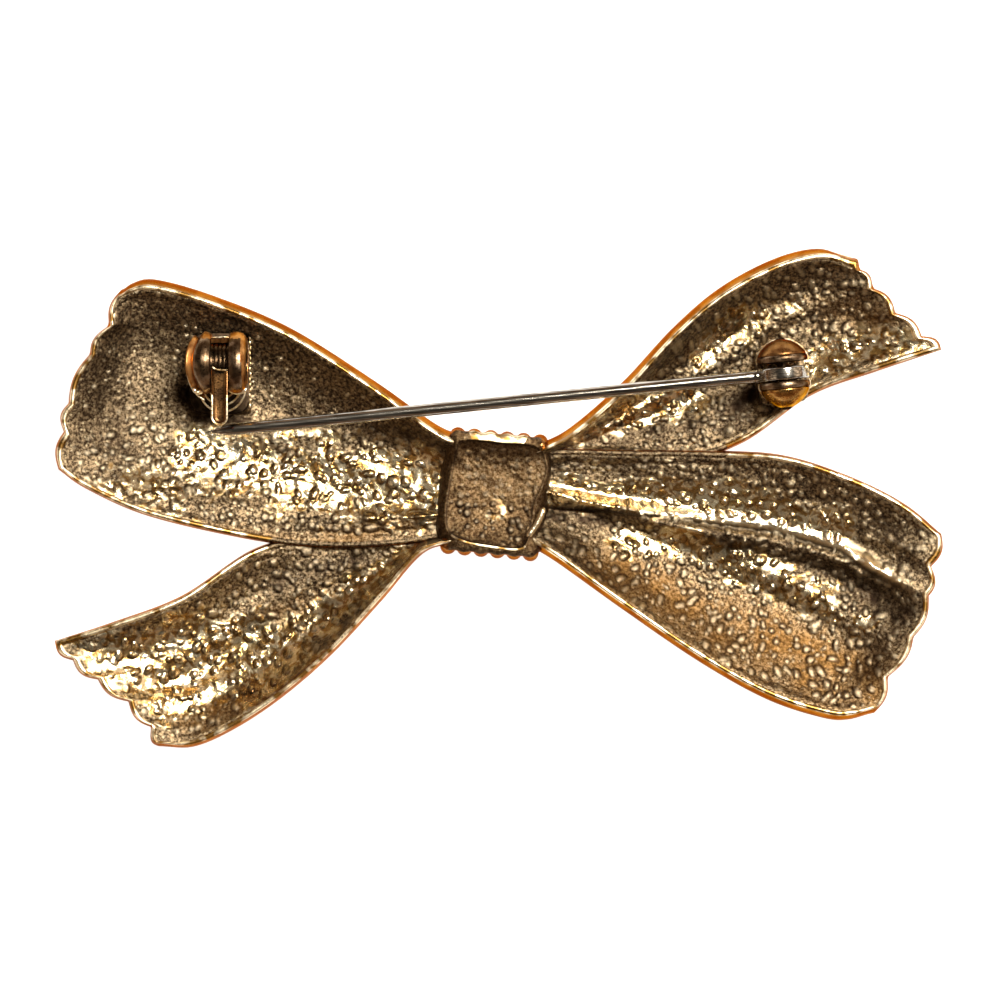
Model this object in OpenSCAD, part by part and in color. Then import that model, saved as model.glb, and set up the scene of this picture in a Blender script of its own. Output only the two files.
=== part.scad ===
// Bow brooch, lying face down: the front's crowns touch z = 0 and the hollow back looks up (+Z).
// +X runs along the bow's width, from the catch on the left to the hinge on the right.

/* [Bow] */
// Reach of each loop from the middle of the bow
loop_reach = 32.4; // [29:0.1:36]
// Spread of each loop off the middle line
loop_spread = 16; // [14:0.1:18]
// Reach of each tail from the middle of the bow
tail_reach = 32.4; // [29:0.1:36]
// Spread of each tail off the middle line
tail_spread = 18.3; // [16:0.1:21]
// Height of the back's rim above the front's crowns
rim_h = 4.9; // [4.3:0.1:5.2]
// Thickness of the cast wall
wall = 1.3; // [1:0.05:1.6]
// Height of the smooth side wall below the rim
edge_h = 1.6; // [1.2:0.05:2]
// Width of the polished rim
rim_w = 0.35; // [0.2:0.05:0.6]
// How far the side wall flares out below the rim
flare = 0.5; // [0.2:0.05:0.8]
// Height of the pleat ridges on the back
fold_h = 0.9; // [0.3:0.05:1.3]
// Height of the ribs on the front
rib_h = 0.35; // [0.1:0.05:0.5]
// Rise of each scallop at the ends of the ribbon
scallop_h = 0.45; // [0.2:0.05:0.8]

/* [Knot] */
// Width of the knot along the bow
knot_w = 8.2; // [7.4:0.1:9.4]
// Height of the knot across the bow
knot_h = 8.6; // [8:0.1:10]
// Wall of the knot at its rim
knot_wall = 0.55; // [0.4:0.05:1]
// Rise of the knot's rim over the ribbons' rims
knot_rise = 0.15; // [0.1:0.05:0.3]
// Lean of the knot, in degrees
knot_lean = -5; // [-10:0.5:0]
// Ribs across the front of the knot
knot_ribs = 6; // [5:1:8]
// Radius of each knot rib
knot_rib_r = 0.6; // [0.45:0.05:0.8]

/* [Pin] */
// Gap between the pin and the back's rim
pin_clear = 0.7; // [0.6:0.05:1]
// Diameter of the pin's wire
pin_d = 0.9; // [0.8:0.02:1]
// Length of the pin past the middle of the catch
pin_past = 0.9; // [0.6:0.1:1.6]
// Length of the sharpened tip
tip_len = 1.8; // [1.5:0.1:4]
// Radius of the point
tip_r = 0.06; // [0.04:0.01:0.12]
// Radius of the flat eye
eye_r = 1.9; // [1.6:0.05:2]
// Thickness of the flat eye
eye_w = 0.96; // [0.9:0.02:1.1]

/* [Hinge] */
// Hinge's place to the right of the middle
hinge_x = 20.6; // [20:0.1:21.2]
// Hinge's place above the middle line
hinge_y = 9; // [8.8:0.1:9.4]
// Radius of each ear at the slot
ear_r = 1.8; // [1.5:0.05:1.85]
// Width over both ears
hinge_w = 4.9; // [4.3:0.1:5.5]
// Length of the hinge's base plate along the pin
hinge_plate_l = 3.5; // [3:0.1:4.2]
// Width of the hinge's base plate
hinge_plate_w = 4.2; // [3.8:0.1:5]
// Radius of the rivet
rivet_r = 0.4; // [0.3:0.02:0.5]
// Radius of the rivet's heads
rivet_head_r = 0.7; // [0.6:0.02:0.9]
// Height of the rivet's heads
rivet_head_h = 0.25; // [0.15:0.05:0.4]

/* [Catch] */
// Catch's place to the left of the middle
catch_x = 20; // [19:0.1:21]
// Catch's place above the middle line
catch_y = 9.75; // [9.2:0.05:10.2]
// Largest radius of the barrel
catch_r = 2.3; // [2.1:0.05:2.5]
// Length of the barrel along the pin
catch_len = 4; // [3.6:0.1:4.8]
// Bore of the barrel
barrel_bore_r = 1.55; // [1.4:0.05:1.65]
// Height of the mouth that takes the pin
mouth_h = 1.15; // [1.05:0.05:1.3]
// Width of the slot between the cheeks
slot_w = 1.3; // [1.1:0.05:1.5]
// Reach of the thumb tab from the barrel's axis
tab_reach = 4.5; // [3.8:0.05:4.8]
// Thickness of the thumb tab
tab_t = 0.5; // [0.35:0.05:0.6]
// Height of the thumb tab above the barrel's axis
tab_lift = 1.2; // [1:0.05:1.3]
// Turn of the lever from open to locked, in degrees
lever_turn = 80; // [60:1:85]
// Reach of the base plate behind the barrel's axis
catch_plate_back = 2.3; // [2:0.05:2.8]
// Reach of the base plate and jaw in front of the barrel's axis
catch_plate_front = 3.6; // [3:0.05:4]
// Width of the base plate along the pin
catch_plate_w = 4.4; // [4:0.1:5]
// How far the base plate is set outwards from the middle of the barrel
catch_plate_out = 0.2; // [0:0.05:0.4]

/* [Fits] */
// Thickness of the catch's and the hinge's base plates
base_t = 0.75; // [0.5:0.05:0.9]
// Clearance beside and under a moving piece
swing_gap = 0.1; // [0.08:0.01:0.14]
// Running clearance of the rivet and of the lever
run_gap = 0.05; // [0.03:0.01:0.08]
// Clearance of the rivet in the hinge's ears
rivet_gap = 0.02; // [0.01:0.01:0.04]
// Gap between the thumb tab's end and the pin beside it
tab_clear = 0.12; // [0.1:0.01:0.3]
// Margin of each flat seat round its base plate
seat_margin = 0.2; // [0.1:0.05:0.4]

/* [Hidden] */

curve_fn = 48;
hull_fn = 12;
eps = 0.01;

// Middle of the knot, and the rounding of its corners
KNOT_AT = [-0.28, 0.35, 0];
knot_round = 1.5;
// Distance from the knot's sides to its outermost ribs
knot_rib_margin = 0.5;
// How far the knot's front is drawn in, and the rounding of the floor of its hollow
knot_front_in = 1.2;
knot_floor_r = 1.1;
// Metal left over the wall's own thickness under the knot's hollow
knot_floor_extra = 0.6;

// Columns of a lobe's section table, from the knot to the end of the ribbon.
// Edge A is the upper side and edge B the lower one. Reach and rise are shares of the lobe's own
// reach and spread, the rims are shares of rim_h, and crown is the share of the full depth.
A_REACH = 0;
A_RISE = 1;
B_REACH = 2;
B_RISE = 3;
A_RIM = 4;
B_RIM = 5;
CROWN = 6;

LEFT_LOOP = [
    [0.080, 0.290, 0.080, -0.140, 0.90, 0.60, 0.35],
    [0.140, 0.340, 0.140, -0.190, 1.00, 0.60, 0.60],
    [0.280, 0.540, 0.280, -0.225, 1.00, 0.62, 0.85],
    [0.465, 0.775, 0.450, -0.220, 1.00, 0.62, 1.00],
    [0.635, 0.920, 0.625, -0.160, 1.00, 0.95, 1.00],
    [0.765, 0.995, 0.800, -0.070, 1.00, 1.00, 0.90],
    [0.835, 0.985, 0.925, 0.045, 1.00, 1.00, 0.60],
    [0.872, 0.965, 0.985, 0.130, 1.00, 1.00, 0.25],
];
RIGHT_LOOP = [
    [0.080, 0.215, 0.070, -0.215, 0.70, 0.90, 0.35],
    [0.140, 0.230, 0.135, -0.295, 0.70, 1.00, 0.60],
    [0.280, 0.225, 0.280, -0.505, 0.70, 1.00, 0.85],
    [0.465, 0.220, 0.450, -0.740, 0.74, 1.00, 1.00],
    [0.635, 0.200, 0.600, -0.910, 0.90, 1.00, 1.00],
    [0.785, 0.105, 0.725, -0.995, 1.00, 1.00, 0.90],
    [0.910, -0.020, 0.800, -1.010, 1.00, 1.00, 0.60],
    [0.995, -0.160, 0.868, -0.990, 1.00, 1.00, 0.25],
];
LEFT_TAIL = [
    [0.080, -0.115, 0.080, -0.180, 0.50, 0.85, 0.20],
    [0.155, -0.140, 0.165, -0.215, 0.50, 1.00, 0.40],
    [0.295, -0.150, 0.260, -0.405, 0.50, 1.00, 0.80],
    [0.430, -0.150, 0.370, -0.615, 0.50, 1.00, 1.00],
    [0.555, -0.205, 0.480, -0.785, 0.75, 1.00, 1.00],
    [0.710, -0.385, 0.585, -0.910, 0.95, 1.00, 0.90],
    [0.865, -0.490, 0.680, -0.985, 1.00, 1.00, 0.55],
    [0.995, -0.565, 0.760, -0.985, 1.00, 1.00, 0.20],
];
RIGHT_TAIL = [
    [0.080, 0.210, 0.080, 0.120, 0.85, 0.57, 0.20],
    [0.160, 0.280, 0.155, 0.150, 1.00, 0.57, 0.40],
    [0.280, 0.465, 0.295, 0.150, 1.00, 0.60, 0.80],
    [0.390, 0.675, 0.430, 0.150, 1.00, 0.60, 1.00],
    [0.495, 0.835, 0.560, 0.230, 1.00, 0.64, 1.00],
    [0.615, 0.950, 0.705, 0.410, 1.00, 0.68, 0.90],
    [0.725, 1.000, 0.850, 0.505, 1.00, 0.90, 0.55],
    [0.802, 0.975, 0.995, 0.590, 1.00, 1.00, 0.20],
];

// Columns of a scallop table: each notch's place across the ribbon's end, and how far it
// stands out from the straight line between the end's corners, in scallop heights.
NOTCH_AT = 0;
NOTCH_OUT = 1;

LEFT_LOOP_NOTCHES = [[0, -2.0], [0.20, -1.55], [0.37, 0.25], [0.65, 1.50], [0.80, 1.00], [1, 0.10]];
RIGHT_LOOP_NOTCHES = [[0, 0], [0.18, 0.10], [0.33, 1.10], [0.56, 0.80], [0.80, -1.35], [1, -1.80]];
LEFT_TAIL_NOTCHES = [[0, 0], [0.18, 0.20], [0.39, -0.45], [0.64, -1.45], [0.87, -1.20], [1, 0]];
RIGHT_TAIL_NOTCHES = [[0, -1.2], [0.10, -1.40], [0.29, -1.55], [0.55, -1.45], [0.82, -0.80], [1, 0]];

// Columns of a fold table: where the ridge starts and ends across the ribbon, its height in
// fold heights, its half width across the ribbon, and where along the ribbon it is full.
FOLD_ROOT = 0;
FOLD_END = 1;
FOLD_RISE = 2;
FOLD_WIDTH = 3;
FOLD_MIDDLE = 4;
FOLD_LENGTH = 5;

LEFT_LOOP_FOLDS = [[0.80, 1.00, 1.0, 0.07, 0.35, 0.40], [0.62, 0.42, 0.5, 0.10, 0.60, 0.45]];
RIGHT_LOOP_FOLDS = [[0.42, 0.32, 1.2, 0.05, 0.55, 0.60], [0.28, 0.64, 0.8, 0.07, 0.65, 0.35]];
LEFT_TAIL_FOLDS = [[0.35, 0.40, 0.5, 0.10, 0.60, 0.35], [0.60, 0.70, 0.4, 0.08, 0.75, 0.30]];
RIGHT_TAIL_FOLDS = [[0.45, 0.40, 0.6, 0.08, 0.60, 0.40], [0.70, 0.66, 0.4, 0.08, 0.75, 0.30]];

// Each lobe: sections, notches, folds, reach, spread, and the flare at edges A and B.
SECTIONS = 0;
NOTCHES = 1;
FOLDS = 2;
REACH = 3;
SPREAD = 4;
FLARE_A = 5;
FLARE_B = 6;

left_loop = [LEFT_LOOP, LEFT_LOOP_NOTCHES, LEFT_LOOP_FOLDS, loop_reach, loop_spread, 1, 0.3];
right_loop = [RIGHT_LOOP, RIGHT_LOOP_NOTCHES, RIGHT_LOOP_FOLDS, loop_reach, loop_spread, 0.3, 1];
left_tail = [LEFT_TAIL, LEFT_TAIL_NOTCHES, LEFT_TAIL_FOLDS, tail_reach, tail_spread, 0.3, 1];
right_tail = [RIGHT_TAIL, RIGHT_TAIL_NOTCHES, RIGHT_TAIL_FOLDS, tail_reach, tail_spread, 1, 0.3];

// How finely the ribbon is divided along its length and across each scallop
rings = 16;
steps_per_scallop = 3;
// Largest share of the ribbon's width that its rims and flares may take
widest_rims = 0.6;
// Where along the ribbon its end starts to follow the scallops
end_from = 0.7;
// Share of the ribbon's length over which the width of the end's rim is set
end_step = 0.05;
// How strongly the rings crowd towards the end
ring_crowding = 1.35;
// Shape of the ribbon's hollow across: below 1 gives steeper sides
dome_power = 0.7;

// The pin lies level over the rim, and its point passes just beside the thumb tab's end
pin_z = rim_h + pin_clear + pin_d / 2;
pin_r_at_tab = tip_r + (pin_d / 2 - tip_r) * min(1, pin_past / tip_len);
pin_y_at_tab = catch_y - tab_reach - tab_clear - pin_r_at_tab;
pin_lean = atan2(hinge_y - pin_y_at_tab, hinge_x + catch_x);
pin_len = norm([hinge_x + catch_x, hinge_y - pin_y_at_tab]) + pin_past;

// Seats for the base plates, each with its top at the plate's underside
catch_seat_z = pin_z - catch_r - base_t;
hinge_seat_z = pin_z - eye_r - swing_gap - base_t;

// The turning sleeve in the barrel, and its tab in the slot between the cheeks
rotor_r = barrel_bore_r - run_gap;
rotor_play = 0.3;
rotor_bore_r = pin_d / 2 + rotor_play;
rotor_inset = 0.15;
rotor_len = catch_len - 2 * rotor_inset;
tab_w = slot_w - 2 * swing_gap;
tab_root = 0.5;
slot_from = -atan2(mouth_h / 2, catch_r);
slot_to = lever_turn + atan2(tab_lift + tab_t, tab_root) + 6;
slot_floor = 0.2;
barrel_waist = 0.35;
cheek_round = 0.5;
catch_neck = 1.2 * catch_r;
jaw_lip_r = 0.45;
jaw_drop = 0.5;

// Rounding of the hinge's ears, and the step of its base plate past them
ear_round = 0.75;
ear_step = 0.2;

slot_half = eye_w / 2 + swing_gap;

function mix(a, b, t) = a + (b - a) * t;
function ease(t) = let (x = min(max(t, 0), 1)) x * x * (3 - 2 * x);
function bell(x) = exp(-x * x);

// Smooth curve through the rows of a table, at the share t of its length
function row(rows, i) =
    i < 0 ? 2 * rows[0] - rows[1] :
    i >= len(rows) ? 2 * rows[len(rows) - 1] - rows[len(rows) - 2] :
    rows[i];
function through(a, b, c, d, t) =
    b + (c - a) * t / 2 + (2 * a - 5 * b + 4 * c - d) * t * t / 2 + (3 * b - a - 3 * c + d) * t * t * t / 2;
function section(rows, s) =
    let (last = len(rows) - 1, x = s * last, i = min(floor(x), last - 1))
    through(row(rows, i - 1), row(rows, i), row(rows, i + 1), row(rows, i + 2), x - i);

// Number of the scallop that holds the place t, and the place inside it from 0 to 1
function scallop(notches, t) = max([for (i = [0 : len(notches) - 2]) if (t >= notches[i][NOTCH_AT]) i]);
function within(notches, t) =
    let (i = scallop(notches, t))
    (t - notches[i][NOTCH_AT]) / (notches[i + 1][NOTCH_AT] - notches[i][NOTCH_AT]);
function bulge(notches, t) = abs(sin(180 * within(notches, t)));
function end_out(notches, t) =
    let (
        i = scallop(notches, t),
        line = mix(notches[i][NOTCH_OUT], notches[i + 1][NOTCH_OUT], within(notches, t))
    )
    scallop_h * (line + bulge(notches, t));

// Height of the ridges at the place (s, t)
function fold_rise(folds, s, t) = fold_h * [for (f = folds)
    f[FOLD_RISE] * bell((t - mix(f[FOLD_ROOT], f[FOLD_END], s)) / f[FOLD_WIDTH])
    * bell((s - f[FOLD_MIDDLE]) / f[FOLD_LENGTH])] * [for (f = folds) 1];

// The cast wall's inner middle: from the edge height down to the crown, with the ridges on it
function dome(t) = pow(max(sin(180 * t), 0), dome_power);
function rim_at(sec, t) = rim_h * mix(sec[A_RIM], sec[B_RIM], t);
function shell_z(lobe, s, t) =
    let (sec = section(lobe[SECTIONS], s), edge = rim_at(sec, t) - edge_h)
    rib_h + (edge - rib_h) * (1 - sec[CROWN] * dome(t)) + fold_rise(lobe[FOLDS], s, t) * dome(t);
function front_z(lobe, s, t) = max(0, shell_z(lobe, s, t) - rib_h * bulge(lobe[NOTCHES], t) * dome(t));
function back_z(lobe, s, t) =
    min(shell_z(lobe, s, t) + wall, rim_at(section(lobe[SECTIONS], s), t) - rim_w);

// Plan place of (s, t), moved back from the ribbon's end by inset
function plan(lobe, s, t, inset) =
    let (
        sec = section(lobe[SECTIONS], s),
        a = [sec[A_REACH] * lobe[REACH], sec[A_RISE] * lobe[SPREAD]],
        b = [sec[B_REACH] * lobe[REACH], sec[B_RISE] * lobe[SPREAD]],
        out = [a[1] - b[1], b[0] - a[0]] / norm(a - b),
        share = ease((s - end_from) / (1 - end_from))
    )
    mix(a, b, t) + out * (end_out(lobe[NOTCHES], t) - inset) * share;
function span_at(lobe, s) = norm(plan(lobe, s, 1, 0) - plan(lobe, s, 0, 0));

function cross_steps(notches) = [
    for (i = [0 : len(notches) - 2])
        for (k = [0 : steps_per_scallop - 1])
            mix(notches[i][NOTCH_AT], notches[i + 1][NOTCH_AT], k / steps_per_scallop),
    1
];

// One closed ring round the wall at s: the front from edge A to edge B, then the back in return
function ring(lobe, s, closed, filled) =
    let (
        ts = cross_steps(lobe[NOTCHES]),
        span = span_at(lobe, s),
        wanted = (flare * (lobe[FLARE_A] + lobe[FLARE_B]) + 2 * rim_w) / span,
        fit = min(1, widest_rims / wanted) / span,
        from = fit * flare * lobe[FLARE_A],
        to = 1 - fit * flare * lobe[FLARE_B],
        lip = fit * rim_w,
        sec = section(lobe[SECTIONS], s),
        inset = flare * 0.6,
        last = len(ts) - 1,
        front = [for (t = ts) let (p = plan(lobe, s, t, 0)) [p[0], p[1], front_z(lobe, s, t)]],
        rim_b = plan(lobe, s, to, inset),
        rim_a = plan(lobe, s, from, inset),
        back = [for (i = [last : -1 : 0])
            let (
                t = mix(from + lip, to - lip, ts[i]),
                p = plan(lobe, s, t, inset),
                high = closed || filled || i == 0 || i == last
            )
            [p[0], p[1], high ? rim_at(sec, t) : back_z(lobe, s, t)]]
    )
    concat(front, [[rim_b[0], rim_b[1], rim_at(sec, 1)]], back, [[rim_a[0], rim_a[1], rim_at(sec, 0)]]);

// The faces that close one end ring: strips between its front and its back, and the two rims
function end_faces(size, base) =
    let (n = size / 2 - 1, last = size - 2)
    concat(
        [for (i = [0 : n - 2]) for (f = [[i, i + 1, last - i - 1], [i, last - i - 1, last - i]])
            [base + f[0], base + f[1], base + f[2]]],
        [[base + n - 1, base + n, base + n + 1], [base, base + last, base + last + 1]]
    );
function turned(faces) = [for (f = faces) [f[0], f[2], f[1]]];

// A closed skin over equal rings
module skin(rows) {
    count = len(rows);
    size = len(rows[0]);
    points = [for (r = rows) for (p = r) p];
    sides = [for (i = [0 : count - 2])
        for (j = [0 : size - 1])
            let (k = (j + 1) % size)
            for (f = [[i * size + j, i * size + k, (i + 1) * size + k],
                      [i * size + j, (i + 1) * size + k, (i + 1) * size + j]]) f];
    first = turned(end_faces(size, 0));
    last = end_faces(size, (count - 1) * size);
    polyhedron(points, concat(sides, first, last), convexity = 6);
}

// Share of the ribbon's length that the rim takes at its end
function end_lip(shape) =
    rim_w * end_step / norm(plan(shape, 1, 0.5, 0) - plan(shape, 1 - end_step, 0.5, 0));

// One ribbon lobe; filled gives it without its hollow
module lobe(shape, filled = false) {
    lip = end_lip(shape);
    along = [for (k = [0 : rings - 1]) (1 - lip) * (1 - pow(1 - k / (rings - 1), ring_crowding))];
    skin(concat(
        [for (s = along) ring(shape, s, s == along[rings - 1], filled)],
        [ring(shape, 1, true, filled)]
    ));
}

module at_knot() {
    translate(KNOT_AT) rotate(knot_lean) children();
}

// A level slice of the knot, drawn in from its outer side by inset all round
module knot_slab(inset, z, h) {
    at_knot() translate([0, 0, z]) linear_extrude(h)
        offset(r = knot_round - inset, $fn = hull_fn)
            square([knot_w - 2 * knot_round, knot_h - 2 * knot_round], center = true);
}

module knot_body() {
    hull() {
        knot_slab(0, rim_h * 0.35, rim_h * 0.65 + knot_rise);
        knot_slab(knot_front_in, knot_rib_r, rim_h * 0.5);
    }
    pitch = (knot_w - 2 * knot_rib_r - 2 * knot_rib_margin) / (knot_ribs - 1);
    for (i = [0 : knot_ribs - 1]) at_knot() knot_rib((i - (knot_ribs - 1) / 2) * pitch);
}

// One rib over the knot's front, from its upper edge round to its lower edge
module knot_rib(x) {
    side_y = knot_h / 2 - knot_rib_r * 0.6;
    places = [[side_y, rim_h * 0.75], [side_y, rim_h * 0.45], [knot_h * 0.25, knot_rib_r]];
    hull()
        for (side = [-1, 1], place = places)
            translate([x, side * place[0], place[1]]) sphere(knot_rib_r, $fn = hull_fn);
}

// The hollow behind the knot, with a rounded floor
module knot_hollow() {
    floor_z = rib_h + wall + knot_floor_extra;
    hull() {
        knot_slab(knot_wall, rim_h, 2 * knot_rise);
        knot_slab(knot_wall + 0.36 * knot_floor_r, floor_z + 0.64 * knot_floor_r, knot_rise);
        knot_slab(knot_wall + knot_floor_r, floor_z, knot_rise);
    }
}

// Footprints of the two base plates, grown by margin
module catch_plan(margin) {
    plate_l = catch_plate_front + catch_plate_back;
    translate([-catch_plate_out, (catch_plate_back - catch_plate_front) / 2])
        square([catch_plate_w + 2 * margin, plate_l + 2 * margin], center = true);
}

module hinge_plan(margin) {
    square([hinge_plate_l + 2 * margin, hinge_plate_w + 2 * margin], center = true);
}

module at_catch() {
    translate([-catch_x, catch_y, 0]) children();
}

module at_hinge() {
    translate([hinge_x, hinge_y, 0]) rotate(pin_lean) children();
}

module bow_casting() {
    color("goldenrod") difference() {
        union() {
            mirror([1, 0, 0]) lobe(left_loop);
            mirror([1, 0, 0]) lobe(left_tail);
            lobe(right_loop);
            lobe(right_tail);
            knot_body();
            intersection() {
                mirror([1, 0, 0]) lobe(left_loop, filled = true);
                at_catch() linear_extrude(catch_seat_z) catch_plan(seat_margin);
            }
            intersection() {
                lobe(right_tail, filled = true);
                at_hinge() linear_extrude(hinge_seat_z) hinge_plan(seat_margin);
            }
        }
        knot_hollow();
        at_catch() translate([0, 0, catch_seat_z]) linear_extrude(rim_h) catch_plan(seat_margin);
        at_hinge() translate([0, 0, hinge_seat_z]) linear_extrude(rim_h) hinge_plan(seat_margin);
    }
}

// Turns a shape drawn round Z so that it runs along the pin at the catch
module along_x() {
    rotate([90, 0, 90]) children();
}

// One domed cheek of the barrel, between the slot and the barrel's end
module cheek() {
    width = (catch_len - slot_w) / 2;
    rotate_extrude($fn = curve_fn) polygon([
        [0, 0],
        [catch_r - barrel_waist, 0],
        [catch_r - cheek_round * 0.16, width * 0.2],
        [catch_r, width * 0.45],
        [catch_r - cheek_round * 0.2, width * 0.7],
        [catch_r - cheek_round, width],
        [0, width]
    ]);
}

// The mouth's lower jaw under one cheek, from the barrel out to a rounded lip
module jaw() {
    low = catch_seat_z + base_t / 2;
    top = pin_z - mouth_h / 2 - jaw_drop;
    wide = (rotor_len - slot_w) / 2;
    translate([slot_w / 2, -catch_plate_front + jaw_lip_r, low]) {
        cube([wide, catch_plate_front - jaw_lip_r, top - low]);
        translate([0, 0, top - low - jaw_lip_r]) along_x()
            cylinder(wide, r = jaw_lip_r, $fn = curve_fn);
    }
}

module catch_housing() {
    foot_z = catch_seat_z + base_t / 2;
    color("peru") at_catch() difference() {
        union() {
            translate([0, 0, catch_seat_z]) linear_extrude(base_t) catch_plan(0);
            translate([-rotor_len / 2, -catch_neck / 2, foot_z])
                cube([rotor_len, catch_neck, pin_z - foot_z]);
            for (side = [0, 1]) mirror([side, 0, 0]) {
                jaw();
                translate([slot_w / 2, 0, pin_z]) along_x() cheek();
            }
            translate([0, 0, pin_z]) along_x()
                cylinder(slot_w + 2 * eps, r = catch_r - barrel_waist, center = true, $fn = curve_fn);
        }
        translate([0, 0, pin_z]) {
            along_x() cylinder(2 * catch_len, r = barrel_bore_r, center = true, $fn = curve_fn);
            translate([-catch_len, -2 * catch_r, -mouth_h / 2])
                cube([2 * catch_len, 2 * catch_r, mouth_h]);
            slot_cut();
        }
    }
}

// The slot between the cheeks, from the mouth up and over as far as the lever turns
module slot_cut() {
    rotate([0, -90, 0]) rotate([0, 0, 270 + slot_from])
        rotate_extrude(angle = slot_to - slot_from, $fn = curve_fn)
            translate([slot_floor, -slot_w / 2]) square([2 * catch_r, slot_w]);
}

module catch_lever() {
    color("sienna") at_catch() translate([0, 0, pin_z]) {
        difference() {
            along_x() cylinder(rotor_len, r = rotor_r, center = true, $fn = curve_fn);
            along_x() cylinder(2 * rotor_len, r = rotor_bore_r, center = true, $fn = curve_fn);
            translate([-rotor_len, -2 * rotor_r, -mouth_h / 2])
                cube([2 * rotor_len, 2 * rotor_r, mouth_h]);
        }
        translate([0, 0, tab_lift]) linear_extrude(tab_t) {
            translate([-tab_w / 2, -tab_reach + tab_w / 2])
                square([tab_w, tab_reach - tab_w / 2 - tab_root]);
            translate([0, -tab_reach + tab_w / 2]) circle(tab_w / 2, $fn = curve_fn);
        }
    }
}

// One domed ear of the hinge, drawn round Z from the slot outwards
module ear() {
    width = hinge_w / 2 - slot_half;
    rotate_extrude($fn = curve_fn) polygon([
        [0, 0],
        [ear_r, 0],
        [ear_r, width * 0.25],
        [ear_r - ear_round * 0.16, width * 0.55],
        [ear_r - ear_round * 0.47, width * 0.8],
        [ear_r - ear_round, width],
        [0, width]
    ]);
}

module hinge_bracket() {
    foot_z = hinge_seat_z + base_t / 2;
    cheek_l = hinge_plate_l - 2 * ear_step;
    color("darkgoldenrod") at_hinge() difference() {
        union() {
            translate([0, 0, hinge_seat_z]) linear_extrude(base_t) hinge_plan(0);
            for (side = [0, 1]) mirror([0, side, 0]) {
                translate([0, slot_half, pin_z]) rotate([-90, 0, 0]) ear();
                translate([-cheek_l / 2, slot_half, foot_z])
                    cube([cheek_l, hinge_plate_w / 2 - slot_half, pin_z - foot_z]);
            }
        }
        translate([0, -hinge_w, pin_z]) rotate([-90, 0, 0])
            cylinder(2 * hinge_w, r = rivet_r + rivet_gap, $fn = curve_fn);
    }
}

module hinge_rivet() {
    half = hinge_w / 2 + rivet_gap;
    color("tan") at_hinge() translate([0, 0, pin_z]) rotate([-90, 0, 0]) {
        translate([0, 0, -half - rivet_head_h / 2])
            cylinder(2 * half + rivet_head_h, r = rivet_r, $fn = curve_fn);
        for (side = [0, 1]) mirror([0, 0, side]) translate([0, 0, half])
            cylinder(rivet_head_h, rivet_head_r, rivet_head_r * 0.7, $fn = curve_fn);
    }
}

module pin_stem() {
    color("silver") at_hinge() translate([0, 0, pin_z]) difference() {
        union() {
            rotate([90, 0, 0]) cylinder(eye_w, r = eye_r, center = true, $fn = curve_fn);
            rotate([0, -90, 0]) {
                cylinder(pin_len - tip_len, r = pin_d / 2, $fn = curve_fn);
                translate([0, 0, pin_len - tip_len])
                    cylinder(tip_len, pin_d / 2, tip_r, $fn = curve_fn);
            }
        }
        rotate([90, 0, 0]) cylinder(2 * eye_w, r = rivet_r + run_gap, center = true, $fn = curve_fn);
    }
}

bow_casting();
catch_housing();
catch_lever();
hinge_bracket();
hinge_rivet();
pin_stem();
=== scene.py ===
import math

import bmesh
import bpy
import numpy as np
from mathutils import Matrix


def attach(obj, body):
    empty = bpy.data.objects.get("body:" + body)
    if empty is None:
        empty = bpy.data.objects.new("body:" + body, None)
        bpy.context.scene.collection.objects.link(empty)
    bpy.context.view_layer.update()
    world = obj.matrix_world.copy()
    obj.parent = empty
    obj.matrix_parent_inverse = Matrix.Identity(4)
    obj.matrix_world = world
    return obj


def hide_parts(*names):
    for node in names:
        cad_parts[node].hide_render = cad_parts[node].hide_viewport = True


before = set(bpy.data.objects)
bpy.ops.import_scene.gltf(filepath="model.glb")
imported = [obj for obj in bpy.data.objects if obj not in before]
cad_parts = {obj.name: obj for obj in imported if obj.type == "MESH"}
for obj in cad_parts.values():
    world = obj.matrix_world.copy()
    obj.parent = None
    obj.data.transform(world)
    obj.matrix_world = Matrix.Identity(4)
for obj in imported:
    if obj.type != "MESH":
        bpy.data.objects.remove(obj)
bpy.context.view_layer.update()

# Lengths are in millimetres, and become metres where Blender takes them.
MM = 0.001
RIM_H = 4.9                  # the highest rims of the casting


# Camera

# The brooch was photographed from straight above, lying on its face.
CAMERA_HEIGHT = 345 * MM
SEEN_WIDTH = 72.38 * MM      # what the picture takes in at the height of the rims
SEEN_MIDDLE = (0.145 * MM, -0.109 * MM)
SENSOR_WIDTH = 36

camera_lens = bpy.data.cameras.new("copy_stand_camera")
camera_lens.sensor_width = SENSOR_WIDTH
camera_lens.lens = SENSOR_WIDTH * (CAMERA_HEIGHT - RIM_H * MM) / SEEN_WIDTH
camera_lens.clip_start = 0.01
camera = bpy.data.objects.new("copy_stand_camera", camera_lens)
camera.location = (*SEEN_MIDDLE, CAMERA_HEIGHT)
bpy.context.scene.collection.objects.link(camera)
bpy.context.scene.camera = camera


# Finishes

def linear(colour):
    """An sRGB hex colour as the linear numbers that a shader takes."""
    parts = [int(colour[i:i + 2], 16) / 255 for i in (0, 2, 4)]
    return tuple(p / 12.92 if p <= 0.04045 else ((p + 0.055) / 1.055) ** 2.4 for p in parts) + (1.0,)


def add(tree, kind, settings=None, inputs=None):
    """Adds one node with its settings; an input is a value, or the socket that feeds it."""
    node = tree.nodes.new(kind)
    for name, value in (settings or {}).items():
        setattr(node, name, value)
    for name, value in (inputs or {}).items():
        if isinstance(value, bpy.types.NodeSocket):
            tree.links.new(value, node.inputs[name])
        else:
            node.inputs[name].default_value = value
    return node


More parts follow.
